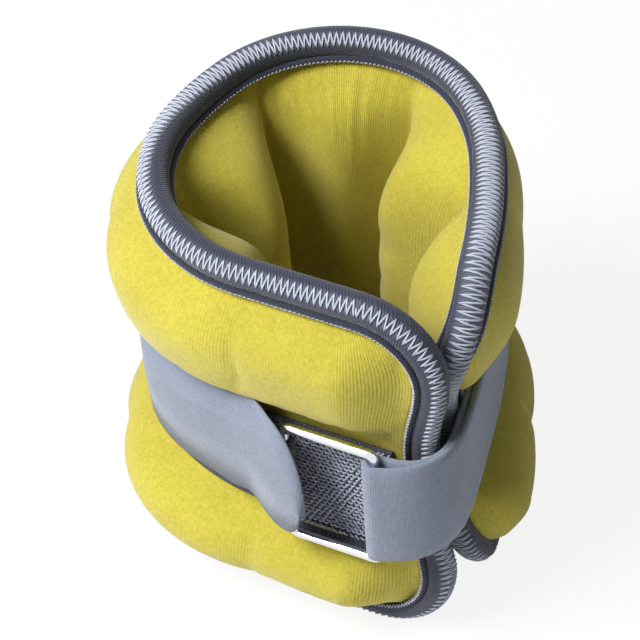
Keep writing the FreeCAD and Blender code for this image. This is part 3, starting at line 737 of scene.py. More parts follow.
def pad_points(columns, heights):
    """Points of both sides with their numbers by place; at the border the sides share them."""
    points, numbers = [], {}
    for side in (COVER, LINING):
        for i, column in enumerate(columns):
            for j, z in enumerate(heights):
                border = i in (0, len(columns) - 1) or j in (0, len(heights) - 1)
                if border and side == LINING:
                    numbers[side, i, j] = numbers[COVER, i, j]
                    continue
                distance = pad_place(column, z)
                numbers[side, i, j] = len(points)
                points.append((*pad_point(side, distance, z), distance))
    return points, numbers


def pad_body():
    """Closed pillow of the cover and the lining, joined inside the edge binding."""
    columns = spread(0.0, PAD_LENGTH, PAD_COLUMN)
    heights = spread(RIM_Z, PAD_HEIGHT - RIM_Z, PAD_ROW)
    points, numbers = pad_points(columns, heights)
    faces, maps = [], []
    for side in (COVER, LINING):
        for i in range(len(columns) - 1):
            for j in range(len(heights) - 1):
                corners = [(i, j), (i + 1, j), (i + 1, j + 1), (i, j + 1)]
                faces.append(tuple(numbers[side, a, b] for a, b in corners))
                maps += [(columns[a] + side * PAD_LENGTH, heights[b]) for a, b in corners]
    vertices, sewn, stations = zip(*points)
    return face_outwards(new_mesh("padded_body", vertices, faces, maps, stations)), sewn


def on_seam(distance):
    """Whether a place lies on one of the seams between the pockets."""
    return any(abs(distance - number * POCKET) < PAD_COLUMN * 0.6 for number in range(1, POCKETS))


PUFF_SCALE = 10.0
PUFF_FRAMES = 20
PUFF_CAP = 0.45
CLOTH_SETTINGS = {
    "quality": 6, "mass": 0.05, "tension_stiffness": 12, "compression_stiffness": 12, "shear_stiffness": 4,
    "bending_stiffness": 0.12, "shrink_min": -0.05, "use_pressure": True, "uniform_pressure_force": 4.0,
    "vertex_group_mass": "sewn",
}


def inflate(pad, sewn):
    """Fill the pillow with air by cloth simulation, held at its sewn lines."""
    group = pad.vertex_groups.new(name="sewn")
    group.add([k for k, fixed in enumerate(sewn) if fixed], 1.0, "REPLACE")
    modifier = pad.modifiers.new("cloth", "CLOTH")
    for title, value in CLOTH_SETTINGS.items():
        setattr(modifier.settings, title, value)
    modifier.settings.effector_weights.gravity = 0.0
    modifier.collision_settings.use_collision = False
    scene = bpy.context.scene
    for timed in (scene, modifier.point_cache):
        timed.frame_start = 1
        timed.frame_end = PUFF_FRAMES
    for number in range(1, PUFF_FRAMES + 1):
        scene.frame_set(number)
    settled(pad)


def coordinates(mesh):
    spots = np.zeros(len(mesh.vertices) * 3)
    mesh.vertices.foreach_get("co", spots)
    return spots


def puffed(pad, sewn):
    """Swell the pillow, and cap how far each point moves."""
    before = coordinates(pad.data)
    pad.data.vertices.foreach_set("co", before * PUFF_SCALE)
    inflate(pad, sewn)
    moved = (coordinates(pad.data) / PUFF_SCALE - before).reshape(-1, 3)
    length = np.linalg.norm(moved, axis=1)
    cap = PUFF_CAP * MM
    kept = np.where(length > 1e-9, cap * np.tanh(length / cap) / np.maximum(length, 1e-9), 0.0)
    moved *= kept[:, None]
    pad.data.vertices.foreach_set("co", (before.reshape(-1, 3) + moved).reshape(-1))
    pad.vertex_groups.clear()
    bpy.context.scene.frame_set(1)


def build_pad():
    pad, sewn = pad_body()
    puffed(pad, sewn)
    subdivided(pad)
    dress(pad, YELLOW_KNIT)
    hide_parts("outer_cover_a", "outer_cover_b", "inner_lining_a", "inner_lining_b")
    cross_seam(pad)
    return pad


# ---------------------------------------------------------------- edge binding

CORNER_STEPS = 8


def edge_loop(spacing):
    """Places round the pad's whole edge as (distance along the pad, height), evenly spaced."""
    low_z, high_z = RIM_Z, PAD_HEIGHT - RIM_Z
    quarter = [math.pi / 2 * k / CORNER_STEPS for k in range(CORNER_STEPS + 1)]
    heights = [high_z - CORNER + CORNER * math.cos(a) for a in quarter[1:]]
    heights += spread(high_z - CORNER, low_z + CORNER, 2.0)[1:-1]
    heights += [low_z + CORNER - CORNER * math.sin(a) for a in quarter]
    rough = [(d, high_z) for d in spread(CORNER, PAD_LENGTH - CORNER, 2.0)]
    rough += [(end_b(z), z) for z in heights]
    rough += [(d, low_z) for d in spread(PAD_LENGTH - CORNER - END_B_LEAN, CORNER, 2.0)[1:]]
    rough += [(end_setback(z), z) for z in reversed(heights)]
    loop = rough + [rough[0]]
    reach = [0.0]
    for (a, b), (c, d) in zip(loop, loop[1:]):
        reach.append(reach[-1] + math.hypot(c - a, d - b))
    count = int(round(reach[-1] / spacing))
    wanted = [reach[-1] * k / count for k in range(count)]
    columns = [[place[k] for place in loop] for k in (0, 1)]
    return [tuple(float(np.interp(at, reach, column)) for column in columns) for at in wanted]


def edge_frames(places):
    """Centre, outward and edgeward direction of the binding at each place of the loop."""
    centres = [rim.point(d, edge_offset(d, z), z) for d, z in places]
    frames = []
    for k, (distance, _) in enumerate(places):
        ahead = (centres[(k + 1) % len(centres)] - centres[k - 1]).normalized()
        outward = rim.outward(distance)
        outward = (outward - ahead * outward.dot(ahead)).normalized()
        edgeward = ahead.cross(outward)
        frames.append((centres[k], outward, edgeward))
    return frames


def lengths_along(path):
    """Length of a path up to each of its points."""
    lengths = [0.0]
    for a, b in zip(path, path[1:]):
        lengths.append(lengths[-1] + (b - a).length)
    return lengths


def loop_lengths(points):
    return lengths_along(points + points[:1])


STITCH = 1.9
ROLL_SIDES = 40

# The overlock thread's band round the roll at shares of the pad's length: its middle and its
# half-width in degrees.  0 degrees is the edge itself, and positive is towards the cover.
TOP_BAND = (
    (0.0, 44.0, 27.0), (0.17, 50.0, 29.0), (0.25, 56.0, 34.0), (0.30, 50.0, 38.0), (0.36, 30.0, 42.0),
    (0.41, 4.0, 42.0), (0.475, -22.0, 38.0), (0.57, -42.0, 27.0), (0.64, -44.0, 26.0), (0.74, -26.0, 36.0),
    (0.81, 0.0, 50.0), (0.90, 20.0, 56.0), (1.0, 22.0, 56.0))
LOW_BAND = (4.0, 56.0)
LOW_BAND_BELOW, LOW_BAND_BLEND = 20.0, 26.0


def stitch_band(distance, z):
    """Middle and half-width of the overlock band at a place of the edge."""
    places, turns, widths = zip(*TOP_BAND)
    turn, width = (float(np.interp(distance / PAD_LENGTH, places, row)) for row in (turns, widths))
    lowered = smooth((MIDDLE - LOW_BAND_BELOW - z) / LOW_BAND_BLEND)
    return mix(turn, LOW_BAND[0], lowered), mix(width, LOW_BAND[1], lowered)


def under_thread(angle, turn, width):
    """1 where the overlock band covers the roll, 0 away from it."""
    away = (math.degrees(angle) - turn + 180.0) % 360.0 - 180.0
    return math.exp(-(away / (width * 1.05)) ** 6)


ROLL_INSET = 0.1
RIB_RELIEF, RIB_PITCH, RIB_SLANT = 0.09, 1.05, 1.6
THREAD_DENT = 0.12


def build_binding():
    """Knitted roll, drawn in a little under its thread, with the band's share stored on it."""
    places = edge_loop(STITCH / 4)
    frames = edge_frames(places)
    lengths = loop_lengths([frame[0] for frame in frames])
    rings, shares = [], []
    for k, ((distance, z), (centre, outward, edgeward)) in enumerate(zip(places, frames)):
        turn, width = stitch_band(distance, z)
        ring = []
        for side in range(ROLL_SIDES):
            angle = math.tau * side / ROLL_SIDES - math.pi
            under = under_thread(angle, turn, width)
            rib = RIB_RELIEF * math.sin(math.tau * (lengths[k] / RIB_PITCH + angle * RIB_SLANT)) * (1 - under)
            dent = THREAD_DENT * under * (1 - math.cos(math.tau * lengths[k] / STITCH))
            radius = ROLL - ROLL_INSET - dent + rib
            ring.append(centre + (outward * math.sin(angle) + edgeward * math.cos(angle)) * radius)
            shares.append(under)
        rings.append(ring)
    around = [math.tau * ROLL * side / ROLL_SIDES for side in range(ROLL_SIDES + 1)]
    roll = skin("edge_binding", rings, lengths, around, [d for d, _ in places], loop=True)
    band = roll.data.attributes.new("band", "FLOAT", "POINT")
    band.data.foreach_set("value", shares)
    dress(roll, ROLL_KNIT)
    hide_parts("edge_binding_a", "edge_binding_b")
    return cross_seam(above_floor(roll))


WELT_ANGLE = 124.0
WELT_REACH = 5.25
WELT_SPACING = 1.6
WELT_FLATNESS = 0.85
WELT_SIDES = 10


def build_welt(name, sign, size):
    """Narrow turned-under edge of the binding that lies on the cloth beside the roll."""
    places = edge_loop(WELT_SPACING)
    frames = edge_frames(places)
    angle = math.radians(WELT_ANGLE) * sign
    turns = [math.tau * k / WELT_SIDES for k in range(WELT_SIDES + 1)]
    rings, centres = [], []
    for centre, outward, edgeward in frames:
        away = outward * math.sin(angle) + edgeward * math.cos(angle)
        beside = outward * math.cos(angle) - edgeward * math.sin(angle)
        spot = centre + away * WELT_REACH
        centres.append(spot)
        rings.append([spot + away * size * math.cos(turn)
                      + beside * size * WELT_FLATNESS * math.sin(turn) for turn in turns[:-1]])
    welt = skin(name, rings, loop_lengths(centres), turns, [d for d, _ in places], loop=True)
    dress(welt, BINDING_KNIT)
    return cross_seam(above_floor(welt))


# ---------------------------------------------------------------- sewing threads

def geometry_tree(name, lengths):
    """Geometry tree that takes points or edges, the named lengths and a material."""
    tree = bpy.data.node_groups.new(name, "GeometryNodeTree")
    sockets = [("Geometry", "INPUT", "NodeSocketGeometry")]
    sockets += [(title, "INPUT", "NodeSocketFloat") for title in lengths]
    sockets += [("Material", "INPUT", "NodeSocketMaterial"), ("Geometry", "OUTPUT", "NodeSocketGeometry")]
    for title, way, kind in sockets:
        tree.interface.new_socket(title, in_out=way, socket_type=kind)
    return tree, tree.nodes.new("NodeGroupInput").outputs


def wired(tree, kind, inputs, **settings):
    """First output of a new node whose inputs are set to values or joined to other nodes' outputs."""
    node = tree.nodes.new(kind)
    for name, value in settings.items():
        setattr(node, name, value)
    for name, value in inputs.items():
        if isinstance(value, bpy.types.NodeSocket):
            tree.links.new(value, node.inputs[name])
        else:
            node.inputs[name].default_value = value
    return node.outputs[0]


def stored(tree, name, kind="FLOAT"):
    return wired(tree, "GeometryNodeInputNamedAttribute", {"Name": name}, data_type=kind)


def scaled(tree, vector, factor):
    return wired(tree, "ShaderNodeVectorMath", {0: vector, "Scale": factor}, operation="SCALE")


def tube(tree, curve, radius):
    """Round thread along a curve, with closed ends."""
    section = wired(tree, "GeometryNodeCurvePrimitiveCircle", {"Resolution": 5, "Radius": radius})
    return wired(tree, "GeometryNodeCurveToMesh", {
        "Curve": curve, "Profile Curve": section, "Fill Caps": True})


def finished(tree, shape, material):
    """Make a tree's shape real, smooth and painted, and send it out."""
    real = wired(tree, "GeometryNodeRealizeInstances", {"Geometry": shape})
    smooth_faces = wired(tree, "GeometryNodeSetShadeSmooth", {"Geometry": real})
    painted = wired(tree, "GeometryNodeSetMaterial", {"Geometry": smooth_faces, "Material": material})
    tree.links.new(painted, tree.nodes.new("NodeGroupOutput").inputs["Geometry"])
    return tree


def thread_tree():
    """Zigzag thread along a path: swings between two directions stored on its points."""
    tree, given = geometry_tree("zigzag_thread", ("Step", "Steps per stitch", "Thread radius"))
    curve = wired(tree, "GeometryNodeMeshToCurve", {"Mesh": given["Geometry"]})
    stepped = wired(tree, "GeometryNodeResampleCurve", {"Curve": curve, "Length": given["Step"]},
                    mode="LENGTH")
    count = wired(tree, "GeometryNodeInputIndex", {})
    share = calc(tree, "FRACT", calc(tree, "DIVIDE", count, given["Steps per stitch"]))
    swing = calc(tree, "MULTIPLY_ADD", calc(tree, "ABSOLUTE", calc(tree, "SUBTRACT", share, 0.5)), 4.0, -1.0)
    angle = calc(tree, "MULTIPLY_ADD", swing, stored(tree, "width"), stored(tree, "turn"))
    out = scaled(tree, stored(tree, "outward", "FLOAT_VECTOR"), calc(tree, "SINE", angle))
    over = scaled(tree, stored(tree, "edgeward", "FLOAT_VECTOR"), calc(tree, "COSINE", angle))
    both = wired(tree, "ShaderNodeVectorMath", {0: out, 1: over}, operation="ADD")
    shift = scaled(tree, both, stored(tree, "reach"))
    moved = wired(tree, "GeometryNodeSetPosition", {"Geometry": stepped, "Offset": shift})
    return finished(tree, tube(tree, moved, given["Thread radius"]), given["Material"])


def loop_tree():
    """Small arches of yarn standing on points, each turned about the way it faces."""
    tree, given = geometry_tree("tape_loops", ("Loop radius", "Yarn radius"))
    arch = wired(tree, "GeometryNodeCurveArc", {
        "Resolution": 6, "Radius": given["Loop radius"], "Start Angle": -0.3, "Sweep Angle": math.pi + 0.6})
    upright = wired(tree, "FunctionNodeAlignRotationToVector",
                    {"Vector": stored(tree, "facing", "FLOAT_VECTOR")}, axis="Y")
    spin = wired(tree, "FunctionNodeAxisAngleToRotation", {"Axis": (0, 1, 0), "Angle": stored(tree, "turn")})
    both = wired(tree, "FunctionNodeRotateRotation", {"Rotation": upright, "Rotate By": spin},
                 rotation_space="LOCAL")
    loops = wired(tree, "GeometryNodeInstanceOnPoints", {
        "Points": given["Geometry"], "Instance": tube(tree, arch, given["Yarn radius"]), "Rotation": both})
    return finished(tree, loops, given["Material"])


def set_inputs(modifier, **values):
    for item in modifier.node_group.interface.items_tree:
        if item.item_type == "SOCKET" and item.in_out == "INPUT":
            key = item.name.replace(" ", "_")
            if key in values:
                modifier[item.identifier] = values[key]


def grown(name, spots, edges, tree, vectors, numbers, **values):
    """Thread that a geometry tree grows on bare spots, which carry named vectors and numbers."""
    mesh = bpy.data.meshes.new(name)
    mesh.from_pydata([tuple(spot * MM) for spot in spots], edges, [])
    for fields, kind, part in ((vectors, "FLOAT_VECTOR", "vector"), (numbers, "FLOAT", "value")):
        for title, column in fields.items():
            mesh.attributes.new(title, kind, "POINT").data.foreach_set(part, np.ravel(column))
    obj = linked(name, mesh)
    modifier = obj.modifiers.new("thread", "NODES")
    modifier.node_group = tree
    set_inputs(modifier, **values)
    settled(obj)
    for title in (*vectors, *numbers):
        layer = obj.data.attributes.get(title)
        if layer and title != "along":
            obj.data.attributes.remove(layer)
    return map_threads(obj)


def map_threads(obj):
    """Surface map for a thread: plain projection, fine enough for its twist."""
    layer = obj.data.uv_layers.get("surface") or obj.data.uv_layers.new(name="surface")
    spots = np.zeros(len(obj.data.vertices) * 3, np.float32)
    obj.data.vertices.foreach_get("co", spots)
    corners = np.zeros(len(obj.data.loops), np.int32)
    obj.data.loops.foreach_get("vertex_index", corners)
    spots = spots.reshape(-1, 3)[corners]
    layer.data.foreach_set("uv", np.stack([spots[:, 0] + spots[:, 1], spots[:, 2]], 1).reshape(-1))
    return obj


ZIGZAG = thread_tree()
THREAD_STEP = 1.2


def sew_edge(name, band_at, reach, stitch, radius, steps):
    """Zigzag thread round the edge; band_at gives its middle and half-width, in degrees, at a place."""
    places = edge_loop(THREAD_STEP)
    centres, outward, edgeward = zip(*edge_frames(places))
    turns, widths = np.radians([band_at(distance, z) for distance, z in places]).T
    count = len(places)
    numbers = {"turn": turns, "width": widths, "reach": [reach * MM] * count,
               "along": [distance for distance, _ in places]}
    thread = grown(name, centres, [(k, (k + 1) % count) for k in range(count)], ZIGZAG,
                   {"outward": outward, "edgeward": edgeward}, numbers, Step=stitch / steps * MM,
                   Steps_per_stitch=float(steps), Thread_radius=radius * MM, Material=PALE_THREAD)
    dress(thread, PALE_THREAD)
    return cross_seam(above_floor(thread))


OVERLOCK_RADIUS = 0.29


def build_overlock():
    return sew_edge("overlock_thread", stitch_band, ROLL + 0.05, STITCH, OVERLOCK_RADIUS, 8)


def build_welt_thread(name, sign, swing, stitch, radius):
    """Small zigzag over the welt and the cloth beside it; swing is in degrees round the roll."""
    def band_at(*_place):
        return WELT_ANGLE * sign, swing

    return sew_edge(name, band_at, WELT_REACH + 0.95, stitch, radius, 6)


# ---------------------------------------------------------------- tape and strap

def band_section(low, high, inner, outer, spacing=3.0):
    """Rounded outline of a strip's section as (height, offset), run round once."""
    edge = (outer - inner) * 0.35
    face = spread(low + edge, high - edge, spacing)
    return ([(z, outer) for z in face] + [(high, outer - edge), (high, inner + edge)]
            + [(z, inner) for z in reversed(face)] + [(low, inner + edge), (low, outer - edge)])


def section_map(section):
    around = [0.0]
    for k in range(len(section)):
        (a, b), (c, d) = section[k], section[(k + 1) % len(section)]
        around.append(around[-1] + math.hypot(c - a, d - b))
    return around


def waist_band(name, begin, finish, inner, outer, width, material, drop=0.0):
    """Strip along the waist between two distances."""
    places = spread(begin, finish, 2.0)
    section = band_section(WAIST_Z - drop - width / 2, WAIST_Z - drop + width / 2, inner, outer)
    rings = [[waist.point(place, offset, z) for z, offset in section] for place in places]
    strip = skin(name, rings, places, section_map(section), [rim_distance(place) for place in places])
    return dress(strip, material)


ROOT_FINISH = waist.length - TAPE_END_INSET
ROOT_BEGIN = ROOT_FINISH - ROOT_LENGTH
LEFT_LEG = waist.point(RING_SETBACK, RING_STANDOFF)
RIGHT_LEG = LEFT_LEG + Vector((RING_WIDTH, 0, 0))
KEEPER_OUT = LEG_BORE + KEEPER_THICKNESS


def build_tape():
    tape = waist_band("loop_tape", TAPE_END_INSET, ROOT_BEGIN - 0.3, -0.4, TAPE_OUT, TAPE_WIDTH, COARSE_LOOP,
                      TAPE_DROP)
    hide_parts("base_tape_a", "base_tape_b")
    return cross_seam(tape)


# Turned-out edge of the tape: how far below the strap's middle it lies, where it ends, and how
# far its faces stand out from the cover and sink into it.
TURNED_EDGE = (21.0, 26.0)
TURNED_EDGE_END = 42.0
TURNED_EDGE_OUT = 1.2
TURNED_EDGE_IN = 0.6


def build_tape_edge():
    """Lower edge of the tape, turned out over the lower bulge where the ring leaves it bare."""
    heights = spread(WAIST_Z - TURNED_EDGE[1], WAIST_Z - TURNED_EDGE[0], 1.0)
    places = spread(TAPE_END_INSET, TURNED_EDGE_END, 2.0)
    rings = []
    for place in places:
        distance = rim_distance(place)
        outer = [rim.point(distance, cover_offset(distance, z) + TURNED_EDGE_OUT, z) for z in heights]
        inner = [rim.point(distance, cover_offset(distance, z) - TURNED_EDGE_IN, z)
                 for z in reversed(heights)]
        rings.append(outer + inner)
    edge = skin("loop_tape_edge", rings, places, [float(k) for k in range(len(rings[0]) + 1)], places)
    dress(edge, COARSE_LOOP)
    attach(edge, "half_a")
    return edge


LOOP_PITCH = 1.7
LOOP_ROW = 1.5
LOOP_BARE = (12.0, 47.0)
LOOP_RADIUS = 0.66
LOOP_YARN_RADIUS = 0.3
LOOP_SINK = 0.1


def loop_turn(place, z, chance):
    """Turn of a loop about the way it faces: a slow wave over the tape, and a little at random."""
    return 0.5 * math.sin(place * 0.22 + z * 0.16) + chance.uniform(-0.3, 0.3)


def build_loops():
    """Yarn loops on the stretch of tape that shows through the ring."""
    chance = random.Random(7)
    middle = WAIST_Z - TAPE_DROP
    half = TAPE_WIDTH / 2 - 0.7
    spots, facings, turns = [], [], []
    for row, z in enumerate(spread(middle - half, middle + half, LOOP_ROW)):
        for place in spread(LOOP_BARE[0], LOOP_BARE[1], LOOP_PITCH):
            along = place + (row % 2) * LOOP_PITCH / 2 + chance.uniform(-0.15, 0.15)
            spots.append(waist.point(along, TAPE_OUT - LOOP_SINK, z + chance.uniform(-0.12, 0.12)))
            facings.append(waist.outward(along))
            turns.append(loop_turn(along, z, chance))
    for z in spread(WAIST_Z - TURNED_EDGE[1] + 0.5, WAIST_Z - TURNED_EDGE[0] - 1.0, LOOP_ROW):
        for place in spread(LOOP_BARE[0], TURNED_EDGE_END - 0.5, LOOP_PITCH):
            distance = rim_distance(place + chance.uniform(-0.3, 0.3))
            proud = cover_offset(distance, z) + TURNED_EDGE_OUT - LOOP_SINK
            spots.append(rim.point(distance, proud, z))
            facings.append((rim.outward(distance) + UP * 0.7).normalized())
            turns.append(loop_turn(place, z, chance))
    loops = grown("tape_loops", spots, [], loop_tree(), {"facing": facings}, {"turn": turns},
                  Loop_radius=LOOP_RADIUS * MM, Yarn_radius=LOOP_YARN_RADIUS * MM, Material=LOOP_YARN)
    dress(loops, LOOP_YARN)
    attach(loops, "half_a")
    return loops


def build_root():
    root = waist_band("strap_root_end", ROOT_BEGIN, ROOT_FINISH + 0.3, TAPE_SEAT, TAPE_OUT, STRAP_WIDTH,
                      STRAP_LOOP)
    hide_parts("strap_root")
    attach(root, "half_b")
    return root


STRAP_SPLIT = 132.0


def build_strap_run():
    run = waist_band("strap_round", STRAP_SPLIT, ROOT_FINISH, STRAP_IN, STRAP_OUT, STRAP_WIDTH, STRAP_LOOP)
    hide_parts("strap_run_a", "strap_run_b")
    return cross_seam(run)


def leaving_distance():
    """Place on the waist whose tangent just clears the keeper round the ring's left leg."""
    low, high = 0.0, PEEL
    for _ in range(40):
        half = (low + high) / 2
        gap = (LEFT_LEG - waist.point(half, STRAP_IN)).dot(waist.outward(half))
        if gap + KEEPER_OUT + STRAP_LAY_GAP > 0:
            low = half
        else:
            high = half
    return low


LEAVE = leaving_distance()
TAB_IN = STRAP_IN + HOOK_THICKNESS
TAB_RUN = waist.forward(LEAVE) * -1
TAB_LENGTH = (LEFT_LEG - waist.point(LEAVE)).dot(TAB_RUN) + TAB_OVERHANG

# Outline of the free end, by distance from its tip: corners as (length, height), the rise of
# its lower and upper edge, the notch in the lower edge, and how far it leans in and out.
TAB_TOP_ROUND = (13.0, 28.0)
TAB_LOW_ROUND = (9.0, 9.0)
TAB_RISE, TAB_RISE_BEGIN, TAB_RISE_LENGTH = 5.5, 66.5, 44.0
TAB_NOTCH, TAB_NOTCH_PLACE, TAB_NOTCH_REACH = 4.0, 20.5, 6.0
TAB_LEAN_TIP, TAB_LEAN_IN, TAB_LEAN_OUT = 1.5, 3.6, 1.4
LEAN_GROWS_FROM, LEAN_GROWTH = 10.0, 12.0
LEAN_IN_GONE, LEAN_IN_FADE = 44.0, 16.0
LEAN_OUT_GONE, LEAN_OUT_FADE = 30.0, 20.0
TAB_SETTLES_OVER = 20.0
TAB_TIP_STEPS = (0.0, 0.15, 0.5, 1.1, 2.0, 3.2, 4.6, 6.2, 8.0)
TAB_COLUMNS = 14


def tab_line(place, offset):
    """Plan point of the free end: on the waist up to LEAVE, then straight past it."""
    if place >= LEAVE:
        return waist.point(place, offset)
    return waist.point(LEAVE, offset) + TAB_RUN * (LEAVE - place)


def round_off(to_tip, corner):
    """Height a rounded corner (length, height) takes off the free end near its tip."""
    share = max(1 - to_tip / corner[0], 0)
    return corner[1] * (1 - math.sqrt(max(1 - share ** 2, 0)))


def tab_heights(to_tip):
    """Lowest and highest point of the free end at a distance from its tip."""
    rise = TAB_RISE * smooth((TAB_RISE_BEGIN - to_tip) / TAB_RISE_LENGTH)
    notch = TAB_NOTCH * math.exp(-((to_tip - TAB_NOTCH_PLACE) / TAB_NOTCH_REACH) ** 2)
    low = WAIST_Z - STRAP_WIDTH / 2 + rise + notch + round_off(to_tip, TAB_LOW_ROUND)
    high = WAIST_Z + STRAP_WIDTH / 2 + rise - round_off(to_tip, TAB_TOP_ROUND)
    return low, high


def tab_lean(to_tip, share):
    """Outward shift that tips the free end's upper edge towards the cuff and its lower edge away."""
    grown_in = mix(TAB_LEAN_TIP, TAB_LEAN_IN, smooth((to_tip - LEAN_GROWS_FROM) / LEAN_GROWTH))
    inward = grown_in * smooth((LEAN_IN_GONE - to_tip) / LEAN_IN_FADE)
    outward = TAB_LEAN_OUT * smooth((LEAN_OUT_GONE - to_tip) / LEAN_OUT_FADE)
    return mix(outward, -inward, share)


def build_tab():
    """Free end of the strap and the stretch beside it, with a round upper corner."""
    tip = LEAVE - TAB_LENGTH
    places = [tip + reach for reach in TAB_TIP_STEPS] + spread(tip + 10.0, STRAP_SPLIT, 2.0)
    rings = []
    for place in places:
        to_tip = place - tip
        low, high = tab_heights(to_tip)
        inner = mix(TAB_IN, STRAP_IN, smooth((place - LEAVE) / TAB_SETTLES_OVER))
        ring = []
        for z, offset in band_section(0.0, 1.0, 0.0, 1.0, spacing=1 / TAB_COLUMNS):
            out = mix(inner, STRAP_OUT, offset) + tab_lean(to_tip, z)
            ring.append(tab_line(place, out) + UP * mix(low, high, z))
        rings.append(ring)
    around = [STRAP_WIDTH * 2 * k / len(rings[0]) for k in range(len(rings[0]) + 1)]
    tab = skin("strap_free_end", rings, places, around, places)
    dress(tab, STRAP_LOOP)
    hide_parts("strap_tab")
    return cross(tab)


# ---------------------------------------------------------------- fold round the ring

def bend_points(line_y, offset, radius):
    """Plan path of one strap layer from the ring's right leg to the pad's end."""
    end_way = waist.forward(waist.length) * -1
    beside = waist.point(waist.length, offset)
    corner = beside + end_way * ((line_y - beside.y) / end_way.y)
    across = Vector((1, 0, 0))
    half_turn = math.acos(across.dot(end_way)) / 2
    level = corner - across * radius * math.tan(half_turn)
    centre = level + Vector((0, radius, 0))
    points = [Vector((x, line_y, 0)) for x in spread(RIGHT_LEG.x, level.x, 2.0)]
    for turn in spread(0.0, half_turn * 2, 0.12)[1:]:
        points.append(centre + Vector((math.sin(turn), -math.cos(turn), 0)) * radius)
    finish = waist.point(ROOT_FINISH, offset)
    start = points[-1]
    steps = max(int((finish - start).length / 2.0), 1)
    points += [start + (finish - start) * (k / steps) for k in range(1, steps + 1)]
    return points


def strap_fold_path():
    """Middle line of the strap from its root, round the ring's right leg and back."""
    half = WEBBING / 2
    under = bend_points(RIGHT_LEG.y + LEG_BORE + half, TAPE_SEAT + half, FOLD_INNER_BEND)
    over = bend_points(RIGHT_LEG.y - LEG_BORE - half, STRAP_IN + half, FOLD_OUTER_BEND)
    around = [RIGHT_LEG + Vector((-math.sin(turn), math.cos(turn), 0)) * (LEG_BORE + half)
              for turn in spread(0.0, math.pi, 0.26)[1:-1]]
    return list(reversed(under)), around, over


FOLD_REACH = 17.0


def webbing_rings(path, width, thickness):
    """Sections of webbing along a plan path, and the map round them."""
    section = band_section(-width / 2, width / 2, -thickness / 2, thickness / 2)
    rings = []
    for k, spot in enumerate(path):
        ahead = (path[min(k + 1, len(path) - 1)] - path[max(k - 1, 0)]).normalized()
        beside = Vector((ahead.y, -ahead.x, 0))
        rings.append([spot + beside * offset + UP * (WAIST_Z + z) for z, offset in section])
    return rings, section_map(section)


def eased(path, rounds):
    """Plan path with its corners relaxed; its first and last points stay."""
    points = list(path)
    for _ in range(rounds):
        inner = [points[k] * 0.5 + (points[k - 1] + points[k + 1]) * 0.25 for k in range(1, len(points) - 1)]
        points = [points[0]] + inner + [points[-1]]
    return points


def build_bridge():
    """The strap's stretch between the ring and the pad's end, in three pieces."""
    under, around, over = strap_fold_path()
    path = eased(under, 12) + around + eased(over, 30)
    rings, across = webbing_rings(path, STRAP_WIDTH, WEBBING)
    lengths = lengths_along(path)
    leg = lengths[len(under) + len(around) // 2]
    reaches = [abs(length - leg) for length in lengths]
    near = [k for k, reach in enumerate(reaches) if reach <= FOLD_REACH]
    first, last = near[0], near[-1]
    stretches = {"strap_fold": (first, last + 1), "strap_bridge_under": (0, first + 1),
                 "strap_bridge_over": (last, len(path))}
    pieces = []
    for name, (low, high) in stretches.items():
        piece = skin(name, rings[low:high], lengths[low:high], across, reaches[low:high])
        pieces.append(dress(piece, STRAP_LOOP))
    cross(pieces[0])
    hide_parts("strap_bridge")
    for piece in pieces[1:]:
        cross(piece)
    return pieces


# ---------------------------------------------------------------- ring and keeper

RING_SIDES = 16


def ring_outline():
    """Middle line of the ring's wire about the ring's centre, with round corners."""
    half_wide = RING_WIDTH / 2
    half_tall = STRAP_WIDTH / 2 + RING_SIDE_GAP + RING_CORNER
    path = []
    for quarter, (sign_x, sign_z) in enumerate(((1, 1), (-1, 1), (-1, -1), (1, -1))):
        centre = Vector((sign_x * (half_wide - RING_CORNER), 0, sign_z * (half_tall - RING_CORNER)))
        for k in range(CORNER_STEPS + 1):
            turn = math.radians(90.0 * quarter + 90.0 * k / CORNER_STEPS)
            path.append(centre + Vector((math.cos(turn), 0, math.sin(turn))) * RING_CORNER)
    dense = []
    for spot, after in zip(path, path[1:] + path[:1]):
        steps = max(int((after - spot).length / 2.0), 1)
        dense += [spot + (after - spot) * (s / steps) for s in range(steps)]
    return dense


def build_ring():
    """Rectangular ring of round wire."""
    middle = (LEFT_LEG + RIGHT_LEG) / 2
    outline = ring_outline()
    across = Vector((0, 1, 0))
    turns = [math.tau * s / RING_SIDES for s in range(RING_SIDES)]
    rings = []
    for k, spot in enumerate(outline):
        beside = (outline[(k + 1) % len(outline)] - outline[k - 1]).normalized().cross(across)
        base = middle + spot + UP * WAIST_Z
        rings.append([base + (across * math.cos(turn) + beside * math.sin(turn)) * RING_WIRE
                      for turn in turns])
    around = [math.tau * RING_WIRE * s / RING_SIDES for s in range(RING_SIDES + 1)]
    ring = skin("ring_wire", rings, loop_lengths(outline), around, [0.0] * len(outline), loop=True)
    dress(ring, PLATED_WIRE)
    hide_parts("buckle_ring")
    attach(ring, "buckle")
    return ring


# Angle by which the keeper turns off its lower foot onto the leg, and the angle it wraps.
KEEPER_LEAVES = 75.0
KEEPER_WRAP = 210.0
# Where the keeper's foot begins and ends past the ring's leg, and the height of its upper layer's
# middle over the tape, in half thicknesses.
KEEPER_FOOT = (4.0, 10.0)
KEEPER_UPPER = 3.1


